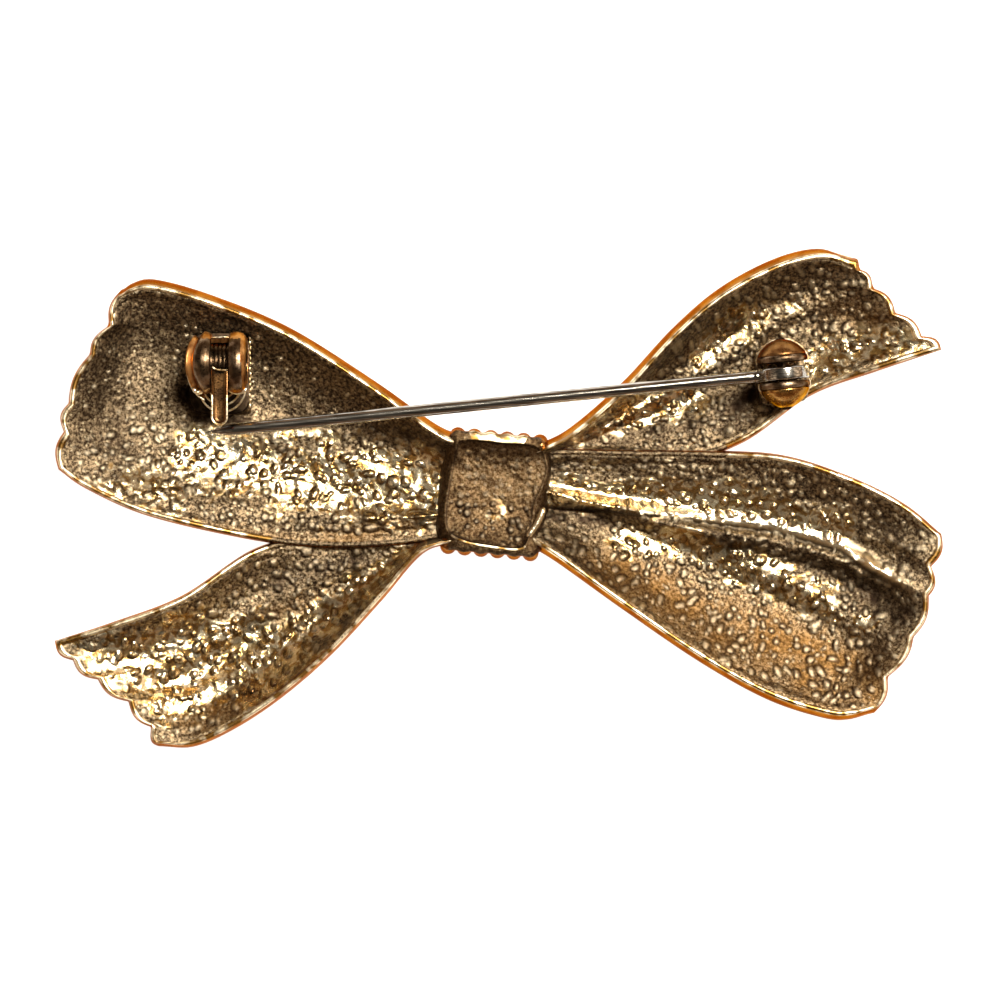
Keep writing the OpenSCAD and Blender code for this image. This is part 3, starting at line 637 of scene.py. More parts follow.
def drawn_in(outline, amount):
    """A closed outline moved inwards all round."""
    o = np.array(outline, float)
    both = unit_rows(np.roll(o, -1, axis=0) - o) + unit_rows(o - np.roll(o, 1, axis=0))
    normal = unit_rows(np.column_stack([-both[:, 1], both[:, 0]]))
    area = np.sum(o[:, 0] * np.roll(o[:, 1], -1) - np.roll(o[:, 0], -1) * o[:, 1])
    return o + normal * amount * (1 if area > 0 else -1)


def stacked(outline, place, levels):
    """A closed outline at several heights, drawn in by a different amount at each."""
    return loft([[place(x, y, z) for x, y in drawn_in(outline, inset)] for inset, z in levels])


def slab(outline, low, high, place, rounding=0.08):
    """A flat plate with rounded rims, from an outline and two heights."""
    corner = rounding * 0.3
    return stacked(outline, place, [(rounding, low), (corner, low + corner), (0, low + rounding),
                                    (0, high - rounding), (corner, high - corner), (rounding, high)])


def bead(path, radius, around=10):
    """A round bead that follows a path of places and closes to a dome at both ends."""
    p = np.array(path, float)
    heading = unit_rows(np.gradient(p, axis=0))
    aside = unit_rows(np.cross(heading, (0.0, 0.0, 1.0)))
    over = np.cross(aside, heading)
    stations = [(0, -1.0, 0.15), (0, -0.7, 0.7)] + [(k, 0.0, 1.0) for k in range(len(p))]
    stations += [(len(p) - 1, 0.7, 0.7), (len(p) - 1, 1.0, 0.15)]
    turns = np.linspace(0, 2 * math.pi, around, endpoint=False)
    return loft([[p[k] + radius * (heading[k] * slide + r * (aside[k] * math.cos(a) + over[k] * math.sin(a)))
                  for a in turns] for k, slide, r in stations])


# Hollow ribbons

BACK, SIDE, RIM, FRONT = 0, 1, 2, 3
CAST_FINISHES = [cast_back, burnished_side, polished_rim, polished_front]


def ribbon_columns(lobe):
    """Shares across a ribbon, with a column on each notch between scallops."""
    at = [place for place, _ in lobe["notches"]]
    widest = max(np.hypot(*(np.array(ribbon_plan(lobe, s, 0)) - np.array(ribbon_plan(lobe, s, 1))))
                 for s in (0.5, 0.7, 0.85, 1.0))
    parts = [np.linspace(a, b, max(4, 2 * round((b - a) * widest / SPACING / 2)), endpoint=False)
             for a, b in zip(at[:-1], at[1:])]
    return np.concatenate(parts + [[1.0]])


def out_of_knot(lobe, t):
    """How far along a column comes out of the knot."""
    s = np.linspace(0, 0.45, 451)
    x, y = ribbon_plan(lobe, s, np.full_like(s, t))
    reach, turn = around_knot(lobe["side"] * x, y)
    inside = np.nonzero(reach < knot_hollow_reach(turn) + 0.1)[0]
    return s[inside[-1]] if len(inside) else 0.0


def inside_rims(lobe, s):
    """A ribbon's width, the shares across it where its two rims begin, and a rim's share of it."""
    ax, ay = ribbon_plan(lobe, s, np.zeros_like(s))
    bx, by = ribbon_plan(lobe, s, np.ones_like(s))
    span = np.hypot(ax - bx, ay - by)
    fit = np.minimum(1, WIDEST_RIMS / ((FLARE * sum(lobe["flare"]) + 2 * RIM_W) / span)) / span
    return span, fit * FLARE * lobe["flare"][0], 1 - fit * FLARE * lobe["flare"][1], fit * RIM_W


def side_and_rim(foot, outside, inside):
    """Rows of points from the front's edge up the side wall and over the rim, each with its finish."""
    belt = []
    top = outside[:, 2] - RIM_ROUND
    for a in (0.18, 0.36, 0.54, 0.70, 0.84, 1.0):
        out = 0.5 * a + 0.5 * (1 - math.cos(a * math.pi / 2))
        up = 0.5 * a + 0.5 * math.sin(a * math.pi / 2)
        wall = np.column_stack([mix(foot[:, :2], outside[:, :2], out), mix(foot[:, 2], top, up)])
        belt.append((wall, SIDE))
    for across, low in ((0.08, 0.06), (0.26, 0.015), (0.5, 0), (0.74, 0.015), (0.92, 0.06)):
        belt.append((mix(outside, inside, across) - (0, 0, low), RIM))
    return belt


def cast_ribbon(name, lobe, skin):
    """One hollow ribbon: its ribbed front, its side wall, its rim and its grained hollow."""
    side = lobe["side"]
    places = ribbon_columns(lobe)
    # rows along, evenly spaced on the ribbon's middle line
    fine = np.linspace(0, 1, 801)
    mx, my = ribbon_plan(lobe, fine, np.full_like(fine, 0.5))
    run = np.concatenate([[0], np.cumsum(np.hypot(np.diff(mx), np.diff(my)))])
    steps = np.interp(np.linspace(0, run[-1], 2 * round(run[-1] / SPACING / 2) + 1), run, fine)[:, None]
    starts = np.array([out_of_knot(lobe, t) for t in places])
    front_s = starts + (1 - starts) * steps
    front_t = np.broadcast_to(places, front_s.shape)
    fx, fy = ribbon_plan(lobe, front_s, front_t)
    fz = ribbon_heights(lobe, front_s, front_t)[1]

    # the hollow, drawn in by the rim and by the lean of the side wall
    ex, ey = ribbon_plan(lobe, np.array([1.0, 1 - END_STEP]), np.full(2, 0.5))
    end_lip = RIM_W * END_STEP / math.hypot(ex[0] - ex[1], ey[0] - ey[1])
    back_s = starts + (1 - end_lip - starts) * steps
    inset = FLARE * END_FLARE
    span, first, last, lip = inside_rims(lobe, back_s)
    back_t = mix(first + lip, last - lip, front_t)
    bx, by = ribbon_plan(lobe, back_s, back_t, inset)
    bx = side * bx
    # it runs up to the rim on all sides, as shallow as a saucer
    inner = span * (last - first - 2 * lip)
    from_side = np.minimum(front_t, 1 - front_t) * inner
    rim_b, _, floor = ribbon_heights(lobe, back_s, mix(front_t, back_t, ease(from_side / SIDE_FADE)))
    from_end = np.interp(1 - end_lip, fine, run) - np.interp(back_s, fine, run)
    drop = (ease(front_t * inner / FILLET) * ease((1 - front_t) * inner / FILLET)
            * (1 - (1 - np.clip(from_end / END_FILLET, 0, 1)) ** 2))
    rise, topness, dullness_and_shade, tarnish_and_shade, warmth = skin(
        bx, by, np.minimum(from_side, from_end), back_s, back_t, span)
    bz = mix(rim_b - RIM_ROUND, np.minimum(floor + rise, rim_b - RIM_ROUND - 0.1), drop)
    if name in SEATS:
        seat_z, *seat = SEATS[name]
        share = seat_share(bx, by, *seat)
        bz = mix(bz, np.minimum(seat_z + 0.02, rim_b), share * drop)
        topness = topness * (1 - share)
        dullness_and_shade = np.maximum(dullness_and_shade, share)

    rows, columns = front_s.shape
    # the front has every second point of the hollow's grid
    front = np.stack([side * fx, fy, fz], -1)[::2, ::2]
    front_rows, front_columns = front.shape[:2]
    base_back = front_rows * front_columns
    points = [front.reshape(-1, 3), np.stack([bx, by, bz], -1).reshape(-1, 3)]
    faces = [grid_faces(front_rows, front_columns, 0, side < 0),
             grid_faces(rows, columns, base_back, side > 0)]
    kinds = [np.full(len(faces[0]), FRONT), np.full(len(faces[1]), BACK)]

    # the belt along the upper edge, round the end and back along the lower edge
    path = [(i, 0) for i in range(rows)] + [(rows - 1, j) for j in range(1, columns)]
    path += [(i, columns - 1) for i in range(rows - 2, -1, -1)]
    row_at, column_at = np.array(path).T
    edge = (row_at, column_at)
    foot = np.stack([fx[edge], fy[edge], fz[edge]], -1)
    inside = np.stack([side * bx[edge], by[edge], rim_b[edge]], -1)
    s_out = front_s[edge]
    _, first, last, _ = inside_rims(lobe, s_out)
    t_out = mix(first, last, places[column_at])
    outside = np.stack([*ribbon_plan(lobe, s_out, t_out, inset), ribbon_heights(lobe, s_out, t_out)[0]], -1)
    belt = side_and_rim(foot, outside, inside)
    count = base_back + rows * columns
    ids = [row_at // 2 * front_columns + column_at // 2]
    for row, _ in belt:
        points.append(row * (side, 1, 1))
        ids.append(np.arange(count, count + len(row)))
        count += len(row)
    ids.append(base_back + row_at * columns + column_at)
    # a loop and a tail lie side by side near the knot, and the rims between them aren't polished
    unpolished = (column_at == (0 if lobe["joined"] == "upper" else columns - 1)) & (foot[:, 0] < JOINED_TO)
    for k, (lower, upper, kind) in enumerate(zip(ids[:-1], ids[1:], [kind for _, kind in belt] + [RIM])):
        if k == 0:
            strip = np.stack([lower[:-1:2], upper[:-1:2], upper[1::2], upper[2::2], lower[2::2]], -1)
            kinds.append(np.full(len(strip), kind))
        else:
            strip = np.stack([lower[:-1], upper[:-1], upper[1:], lower[1:]], -1)
            kinds.append(np.where(unpolished[:-1] & (kind == RIM), BACK, kind))
        faces.append(strip if side > 0 else strip[:, ::-1])
    # the cut root and the belt's two ends, hidden inside the knot's wall
    front_row, back_row = np.arange(front_columns), base_back + np.arange(columns)
    root = np.stack([back_row[2::2], back_row[1::2], back_row[:-1:2], front_row[:-1], front_row[1:]], -1)
    ends = np.array([[row[0] for row in ids[::-1]], [row[-1] for row in ids]])
    for cut in (root, ends):
        faces.append(cut if side > 0 else cut[:, ::-1])
        kinds.append(np.full(len(cut), BACK))
    points = np.concatenate(points)
    # the front's points, the hollow's, and the belt's, whose unpolished part is dull and brown
    values = {key: np.concatenate([np.zeros(base_back), np.clip(part, 0, 1).reshape(-1),
                                   np.full(len(points) - base_back - rows * columns, on_belt)])
              for key, part, on_belt in (("painted_glint", topness, 0), ("dullness_and_shade", dullness_and_shade, 1),
                                         ("tarnish_and_shade", tarnish_and_shade, 0.35), ("warmth", warmth, 0))}
    piece = make_piece(name, points, [f for block in faces for f in block.tolist()], CAST_FINISHES,
                       "brooch", "bow_casting", np.concatenate(kinds), values)


def cast_skin(x, y, edge, seed, pitch, share, polish_and_sheen, net=1.0):
    """The relief that every hollow has: round nubs, low waves, a net of thin ridges and fine grit."""
    wx, wy = (v + 0.35 * waviness(x, y, 1.7, seed + k) for v, k in ((x, 7), (y, 8)))
    big = nubs(wx, wy, pitch, share, 0.18, 0.36, seed)
    more = nubs(wx + 7.3, wy - 4.1, pitch * 1.27, 0.55, 0.20, 0.34, seed + 4)
    height, top, ring = (np.maximum(a, b) for a, b in zip(big, more))
    small, small_top, small_ring = nubs(x, y, 0.47, 0.35, 0.08, 0.15, seed + 9)
    clear = ease((edge - 0.1) / 0.3)
    swell = waves(x, y, (0.12, 1.9, seed + 12), (0.05, 0.75, seed + 13))
    swell = swell * (1 - 0.4 * polish_and_sheen) * ease(edge / 0.8)
    ridges = 0.07 * (1 - np.abs(waviness(x, y, 0.8, seed + 15))) ** 3 * polish_and_sheen * net
    grit = 0.022 * waviness(x, y, 0.24, seed + 14) * (1.4 - polish_and_sheen)
    rise = swell + grit + np.maximum(np.maximum(height, small * 0.7) * clear, ridges)
    # dark paint at the foot of each nub, and up the nub's side where the floor is painted bright: painted
    # shade
    foot = ring * (1 - 0.5 * top) + 0.6 * np.sqrt(top) * (1 - 0.5 * top ** 3) * polish_and_sheen
    foot = np.maximum(foot, 0.6 * small_ring * (1 - small_top)) * clear
    # pale nub tops, most where the floor is dull: painted glints
    return rise, np.maximum(top ** 3, 0.5 * small_top ** 2) * clear * (0.42 - 0.3 * polish_and_sheen), foot


def hollow_zones(x, y, zones):
    """A hollow's painted sheen, warm painted shade, and dark painted shade with tarnish, at each place."""
    return (patchy(stretches(x, y, zones["polish_and_sheen"]), x, y), stretches(x, y, zones["warm"]),
            stretches(x, y, zones["shaded_and_tarnished"]))


def left_loop_skin(x, y, edge, *_):
    polish_and_sheen, warmth, tarnish_and_shade = hollow_zones(x, y, LEFT_LOOP_ZONES)
    painted_spots = stretches(x, y, LEFT_LOOP_ZONES["painted_spots"])
    # few nubs in the dull upper part, many below the middle and by the end
    many = ease((5.2 - y + 0.10 * (x + 20) + 3.2 * bell((x + 26.5) / 3.5)) / 3)
    rise, top, foot = cast_skin(x, y, edge, 3, 0.88, 0.75, polish_and_sheen)
    plain = waves(x, y, (0.07, 1.3, 18), (0.035, 0.4, 19), (0.03, 0.24, 20))
    few, few_top, _ = nubs(x, y, 0.8, 0.25, 0.09, 0.20, 21)
    # more pale nub tops in the spots, painted highlights, and less dark paint there
    topness = np.maximum(top * many * (1 + 1.3 * painted_spots), few_top * 0.7 * (1 - many))
    return (mix(plain + few, rise, many), topness, 1 - polish_and_sheen,
            np.maximum(tarnish_and_shade * (1 - 0.4 * painted_spots), foot * many * 0.75), warmth)


def right_loop_skin(x, y, edge, s, t, span):
    polish_and_sheen, warmth, tarnish_and_shade = hollow_zones(x, y, RIGHT_LOOP_ZONES)
    # the pleat: a ridge painted pale as a highlight, and a furrow below it painted dark as shade
    beside = beside_line(x, y, PLEAT)
    ending = ease((30.5 - x) / 3)
    pleat = (0.22 * bell((beside - 0.1) / 0.42) - 0.30 * bell((beside + 0.45) / 0.3)
             - 0.25 * bell((beside + 1.4) / 0.9))
    ridge_glint = bell((beside - 0.15) / 0.4) * ease((x - 8) / 5) * ending
    tarnish_and_shade = np.maximum(tarnish_and_shade, bell((beside + 0.35) / 0.3) * ending * 0.95)
    rise, top, foot = cast_skin(x, y, edge, 23, 0.86, 0.75, polish_and_sheen, 0.4)
    wrinkles = 0.06 * waviness(s * 4.0, t * span / 1.1, 1.0, 9)
    return (rise + wrinkles + pleat * ending, np.maximum(top, ridge_glint), np.minimum(1 - polish_and_sheen, 1 - ridge_glint),
            np.maximum(tarnish_and_shade, foot * 0.75) * (1 - ridge_glint), warmth)


def tail_skin(zones, seed, pitch, share, net=1.0):
    def skin(x, y, edge, *_):
        polish_and_sheen, warmth, tarnish_and_shade = hollow_zones(x, y, zones)
        rise, top, foot = cast_skin(x, y, edge, seed, pitch, share, polish_and_sheen, net)
        return rise, top, 1 - polish_and_sheen, np.maximum(tarnish_and_shade, foot * 0.75), warmth
    return skin


cast_ribbon("left_loop", LEFT_LOOP, left_loop_skin)
cast_ribbon("right_loop", RIGHT_LOOP, right_loop_skin)
cast_ribbon("left_tail", LEFT_TAIL, tail_skin(LEFT_TAIL_ZONES, 43, 0.92, 0.75))
cast_ribbon("right_tail", RIGHT_TAIL, tail_skin(RIGHT_TAIL_ZONES, 63, 0.86, 0.7, 0.5))


# Knot

def lean_knot(points):
    c, s = math.cos(KNOT_LEAN), math.sin(KNOT_LEAN)
    x, y, z = points.T
    return np.column_stack([KNOT_AT[0] + c * x - s * y, KNOT_AT[1] + s * x + c * y, z])


DISH_RINGS = np.concatenate([np.linspace(0.015, 0.88, 44), np.linspace(0.90, 1.0, 6)])
DISH_Z = 3.75                # the dish's deepest place, and its edge where the ribbons come in
DISH_EDGE_Z = 3.95
CUP_FINISHES = [RIM] * 4 + [SIDE] * 3 + [FRONT] * 2


def knot_rings(turn):
    """Rings from the dish's middle out to its edge and down round the cup: reach and height."""
    inner = knot_hollow_reach(turn)
    along_side = knot_side_reach(turn) * np.cos(turn - KNOT_LEAN)
    ripple = 0.07 * np.cos(2 * math.pi * along_side / RIB_PITCH + math.pi)
    # the edge stands up to the rim above and below, and is low where the ribbons come in
    upright = ease((np.abs(np.sin(turn)) - 0.55) / 0.3)
    outer = np.maximum(knot_side_reach(turn) + (0.12 + ripple) * upright, inner + 0.28)
    edge = mix(DISH_EDGE_Z, KNOT_TOP - 0.4, upright)
    rings = [(inner * share, DISH_Z + (edge - DISH_Z) * share ** 4) for share in DISH_RINGS]
    return rings + [
        (inner + 0.05, edge + 0.03), (inner + 0.14, edge + 0.01),
        (mix(inner + 0.14, outer, 0.6), edge - 0.5 * (1 - upright)),
        (outer - 0.05, mix(2.6, edge - 0.16, upright)), (outer, mix(2.3, edge - 0.4, upright)),
        (outer - 0.05, 2.3), (outer - 0.5, 1.1), (outer * 0.66, 0.6), (outer * 0.3, 0.6)]


def knot_skin(points, share):
    """The dish's relief and finish; share is a point's place from its middle, 0, to its edge, 1."""
    x, y = points[:, 0], points[:, 1]
    height, top, ring = nubs(x, y, 0.62, 0.55, 0.14, 0.30, 83)
    low = ease((0.6 - y) / 1.6)
    in_dish = share <= 1
    fade = np.where(in_dish, 1 - ease((share - 0.86) / 0.12), 0)
    points[:, 2] += fade * (height * (0.2 + 0.8 * low) + waves(x, y, (0.07, 1.1, 84), (0.035, 0.3, 85)))
    # a painted highlight in the dish, below its middle
    glint = bell(np.hypot((x + 0.1) / 1.1, (y + 0.9) / 0.8))
    dull_and_shaded = np.where(in_dish, 1 - 0.9 * patchy(0.7 * glint, x, y), 1.0)
    on_nub = np.sqrt(top) * (1 - 0.6 * top ** 4)
    # even tarnish and painted shade: less in the highlight, more low down, round and on nubs, at the edge
    tarnish_and_shade = (0.42 + 0.10 * low * (1 - glint) - 0.34 * glint + 0.3 * low * ring * (1 - glint)
               + 0.55 * glint * on_nub + 0.5 * ease((share - 0.95) / 0.05))
    # pale nub tops, more in the lower part: painted glints
    return top ** 2 * fade * (0.15 + 0.2 * low) * (1 - glint), dull_and_shaded, np.where(in_dish, tarnish_and_shade, 0.6)


def knot_ribs(first):
    """The ribs, each a round bar bent over the front, with points numbered from first."""
    radius, around = 0.6, 18
    side_y = KNOT_H / 2 - 0.36
    line = smooth_line([(side_y - 0.16, 3.675), (side_y - 0.02, 2.205), (2.15, 0.62), (0, 0.6), (-2.15, 0.62),
                        (-side_y - 0.02, 2.205), (-side_y, 3.675)], 41)
    heading = unit_rows(np.gradient(line, axis=0))
    domed = np.radians([80, 55, 28])
    stations = [(line[0], heading[0], math.cos(a), -math.sin(a)) for a in domed]
    stations += [(p, h, 1.0, 0.0) for p, h in zip(line, heading)]
    stations += [(line[-1], heading[-1], math.cos(a), math.sin(a)) for a in domed[::-1]]
    turns = np.linspace(0, 2 * math.pi, around, endpoint=False)
    last = len(stations) - 1
    points, faces, kinds = [], [], []
    for rib in range(RIBS):
        middle = (rib - (RIBS - 1) / 2) * RIB_PITCH
        base = first + len(points)
        for (py, pz), (ty, tz), r, slide in stations:
            points += [(middle + radius * r * math.cos(a), py + radius * (ty * slide + tz * r * math.sin(a)),
                        pz + radius * (tz * slide - ty * r * math.sin(a))) for a in turns]
        for k in range(last):
            faces += ring_faces(around, base + k * around, base + (k + 1) * around)
            kinds += [FRONT if 8 < k < last - 8 else SIDE] * around
        faces += [tuple(range(base + around - 1, base - 1, -1)),
                  tuple(range(base + last * around, base + (last + 1) * around))]
        kinds += [SIDE] * 2
    return lean_knot(np.array(points)), faces, kinds


def cast_knot():
    """The knot: a shallow grained dish inside a thin edge, in a cup whose front has ribs."""
    count = 360
    turn = np.linspace(0, 2 * math.pi, count, endpoint=False)
    rings = knot_rings(turn)
    in_dish = len(DISH_RINGS)
    bands = [BACK] * in_dish + CUP_FINISHES
    points = np.concatenate([np.column_stack([
        KNOT_MIDDLE[0] + r * np.cos(turn), KNOT_MIDDLE[1] + r * np.sin(turn),
        np.broadcast_to(z, turn.shape)]) for r, z in rings])
    share = np.repeat(np.concatenate([DISH_RINGS, np.full(len(rings) - in_dish, 2.0)]), count)
    topness, dull_and_shaded, tarnish_and_shade = knot_skin(points, share)
    # the band over the ribs and the thin lower edge are pale and polished only where they catch the light,
    # a painted highlight; elsewhere they take the cast finish, painted dark
    inner = knot_hollow_reach(turn)
    px, py = inner * np.cos(turn) + KNOT_MIDDLE[0], inner * np.sin(turn) + KNOT_MIDDLE[1]
    bright_top = (py > 3.3) & (px > -1.8) & (px < 1.9)
    bright_low = (py < -2.2) & (px > -3.4) & (px < 1.9)
    faces, kinds = [], []
    for k, kind in enumerate(bands[1:]):
        faces += [(b, a, d, c) for a, b, c, d in ring_faces(count, k * count, (k + 1) * count)]
        step = k + 1 - in_dish
        shown = (bright_top & (step >= 1)) | (bright_low & (step <= 1))
        kinds += np.where(shown, RIM, BACK).tolist() if kind == RIM else [kind] * count
    # the middle of the dish and of the front
    for base, step, kind in ((0, 1, BACK), ((len(rings) - 1) * count, -1, FRONT)):
        centre = len(points)
        points = np.vstack([points, points[base:base + count].mean(axis=0)])
        faces += [(centre, *(base + j, base + (j + 1) % count)[::step]) for j in range(count)]
        kinds += [kind] * count
    # a fold beside the lower right corner, painted pale as a highlight
    fold_line = smooth_line([(3.25, -0.9), (2.9, -1.7), (2.25, -2.65)], 12)
    fold, fold_faces = bead([(x, y, 4.35) for x, y in fold_line], 0.24)
    faces += [tuple(i + len(points) for i in f) for f in fold_faces]
    kinds += [BACK] * len(fold_faces)
    points = np.vstack([points, fold])
    added = len(points) - len(topness)
    ribs, rib_faces, rib_kinds = knot_ribs(len(points))
    # the dish and cup, then the middles and the fold, then the ribs
    values = {key: np.concatenate([np.clip(part, 0, 1), np.full(added, on_fold), np.zeros(len(ribs))])
              for key, part, on_fold in (("painted_glint", topness, 1.0), ("dullness_and_shade", dull_and_shaded, 0.0),
                                         ("tarnish_and_shade", tarnish_and_shade, 0.0),
                                         ("warmth", np.full(len(topness), 0.55), 0.55))}
    piece = make_piece("knot", np.vstack([points, ribs]), faces + rib_faces, CAST_FINISHES,
                       "brooch", "bow_casting", kinds + rib_kinds, values)


cast_knot()


# Findings

SHARP_CREASE = math.radians(40)


def forge(name, shapes, finishes, body, stands_for):
    """One piece from several shapes, each with the number of its finish."""
    points, faces, kinds = [], [], []
    for (pts, fcs), kind in shapes:
        base = len(points)
        points += pts
        faces += [tuple(i + base for i in f) for f in fcs]
        kinds += [kind(*np.mean([pts[i] for i in f], axis=0)) if callable(kind) else kind for f in fcs]
    piece = make_piece(name, points, faces, finishes, body, stands_for, kinds,
                       {"dullness_and_shade": np.ones(len(points))})
    piece.data.set_sharp_from_angle(angle=SHARP_CREASE)


def catch_flat(x, y, z):
    return (CATCH_AT[0] + x, CATCH_AT[1] + y, z)


def catch_place(along, r, angle):
    """Round the catch's barrel: the angle is counted from the mouth, over the top."""
    return catch_flat(along, -r * math.cos(angle), PIN_Z + r * math.sin(angle))


def hinge_flat(x, y, z):
    c, s = math.cos(PIN_LEAN), math.sin(PIN_LEAN)
    return (HINGE_AT[0] + c * x - s * y, HINGE_AT[1] + s * x + c * y, z)


def hinge_place(across, r, angle):
    """Round the hinge's rivet: across is along the rivet, the angle is counted from the top."""
    return hinge_flat(-r * math.sin(angle), across, PIN_Z + r * math.cos(angle))


BARREL_BORE = 1.55
MOUTH = 1.15
SLOT = 0.65                  # half of the slot between the barrel's cheeks
ROTOR_R = 1.5
ROTOR_BORE = 0.75


def open_mouth(r):
    """First and last angle of a wall at this radius that leaves the barrel's mouth open."""
    half = math.asin(min(MOUTH / 2 / r, 1))
    return half, 2 * math.pi - half


def arc(first, last):
    """The same first and last angle, in degrees, at every radius."""
    return lambda r: (math.radians(first), math.radians(last))


def half_oval(half, reach, back, count=24):
    """Outline of a tongue that ends in a half oval towards the pin."""
    ends = [(half * math.cos(a), -back - (reach - back) * math.sin(a))
            for a in np.linspace(0, math.pi, count)]
    return [(half, 0.4)] + ends + [(-half, 0.4)]


def catch_shapes():
    polished, orange, pale, shaded_and_tarnished = 0, 1, 2, 3
    shapes = []

    def bowed(along, r, angle):
        # the left cheek is widest in the middle of the barrel
        return catch_place(along + 0.5 * math.cos(angle) ** 2 * ease((-along - 0.9) / 1.1), r, angle)

    # orange painted where the barrel's ends and flanks would mirror the gold casting: a painted reflection
    def right_finish(x, y, z):
        lx, ly = x - CATCH_AT[0], y - CATCH_AT[1]
        return orange if ly > 1.75 or lx > 1.62 - 0.1 * (ly > 0) or ly < -1.95 else polished

    def left_finish(x, y, z):
        lx, ly = x - CATCH_AT[0], y - CATCH_AT[1]
        corner = ly < -0.9 and lx < -1.5 - 0.4 * (ly + 2.0)
        return orange if ly > 1.75 or lx < -1.88 + 0.12 * ly * ly or corner else polished

    # two domed cheeks with the slot between them
    right = [(SLOT, BARREL_BORE), (SLOT, 2.08), (0.70, 2.18), (0.95, 2.28), (1.25, 2.30), (1.55, 2.22),
             (1.78, 2.02), (1.90, 1.74), (1.92, BARREL_BORE)]
    left = [(-SLOT, BARREL_BORE), (-SLOT, 2.08), (-0.70, 2.18), (-0.98, 2.28), (-1.32, 2.30), (-1.68, 2.20),
            (-1.93, 1.98), (-2.04, 1.72), (-2.06, BARREL_BORE)]
    shapes.append((turned(soften(right, 0.08), catch_place, open_mouth), right_finish))
    shapes.append((turned(soften(left, 0.08), bowed, open_mouth), left_finish))
    # the flange that turns out at the barrel's left end, and the wing below it with its thin edge; both are
    # painted orange as a reflection, and the edge pale as a highlight
    flange = [(-1.98, 1.60), (-1.98, 1.80), (-2.16, 1.92), (-2.34, 2.02), (-2.44, 1.98), (-2.46, 1.88),
              (-2.30, 1.70), (-2.12, 1.60)]
    shapes.append((turned(soften(flange, 0.06), bowed, arc(30, 200)), orange))
    wing = [(-2.0, 0.9), (-2.2, 0.7), (-2.44, 0.1), (-2.42, -0.8), (-2.15, -1.6), (-1.7, -2.25),
            (-1.25, -2.62), (-1.1, -2.35), (-1.5, -1.75), (-1.87, -1.45), (-1.98, -0.6), (-1.98, 0.4)]
    shapes.append((slab(soften(wing, 0.12), PIN_Z - 0.42, PIN_Z - 0.12, catch_flat, 0.05), orange))
    wing_edge = smooth_line([(-2.42, 0.3), (-2.43, -0.7), (-2.17, -1.6), (-1.72, -2.25), (-1.22, -2.64)], 24)
    shapes.append((bead([catch_flat(x, y, PIN_Z - 0.16) for x, y in wing_edge], 0.07), pale))
    # rolled lips at the mouth, and the web behind the slot with its pale crest; lips and crest are painted
    # pale as highlights, and the web orange as a reflection
    for low, high in ((-1.85, -1.25), (0.75, 1.80)):
        lip = smooth_line([(low, 0.34), (mix(low, high, 0.3), 0.26), (mix(low, high, 0.7), 0.26),
                           (high, 0.36)], 12)
        rolled = [catch_place(x, 2.16 - 0.1 * abs(2 * (x - low) / (high - low) - 1) ** 3, a) for x, a in lip]
        shapes.append((bead(rolled, 0.17), pale))
    web = [(-SLOT - 0.02, BARREL_BORE), (SLOT + 0.02, BARREL_BORE), (SLOT + 0.02, 1.95), (-SLOT - 0.02, 1.95)]
    shapes.append((turned(web, catch_place, arc(160, 346)), orange))
    crest = [catch_place(x, 1.95 + 0.05 * bell((x - 0.3) / 0.3), math.radians(160))
             for x in np.linspace(-0.62, 0.62, 14)]
    shapes.append((bead(crest, 0.06), pale))
    # foot, stepped jaws with thin raised edges, and base plate with its toothed side: foot, jaws and plate
    # are painted nearly black as shadow, and the raised edges and teeth pale as highlights
    foot = soften([(-1.80, -1.30), (1.80, -1.30), (1.80, 1.38), (-1.80, 1.38)], 0.3)
    shapes.append((slab(foot, CATCH_SEAT_Z + 0.4, 4.6, catch_flat), shaded_and_tarnished))
    for half, reach, low, high in ((1.80, 3.55, 3.4, 4.25), (1.45, 3.05, 3.9, 4.62), (1.1, 2.55, 4.2, 4.92)):
        outline = half_oval(half, reach, 1.5)
        shapes.append((slab(outline, low, high, catch_flat, 0.1), shaded_and_tarnished))
        rim = drawn_in(outline, 0.07)[2:-1]
        shapes.append((bead([catch_flat(x, y, high) for x, y in rim], 0.075, 8), pale))
    plate = soften([(-2.4, -3.6), (2.0, -3.6), (2.0, 2.3), (-2.4, 2.3)], 1.3, 10)
    shapes.append((slab(plate, CATCH_SEAT_Z, CATCH_SEAT_Z + BASE_T, catch_flat, 0.12), shaded_and_tarnished))
    for k, y in enumerate(np.arange(-3.1, 1.9, 0.38)):
        tooth = [catch_flat(1.98 + 0.03 * math.sin(2.4 * k), y + dy, 3.72 + 0.02 * math.sin(k))
                 for dy in (0, 0.09, 0.18)]
        shapes.append((bead(tooth, 0.085, 8), pale))
    return shapes


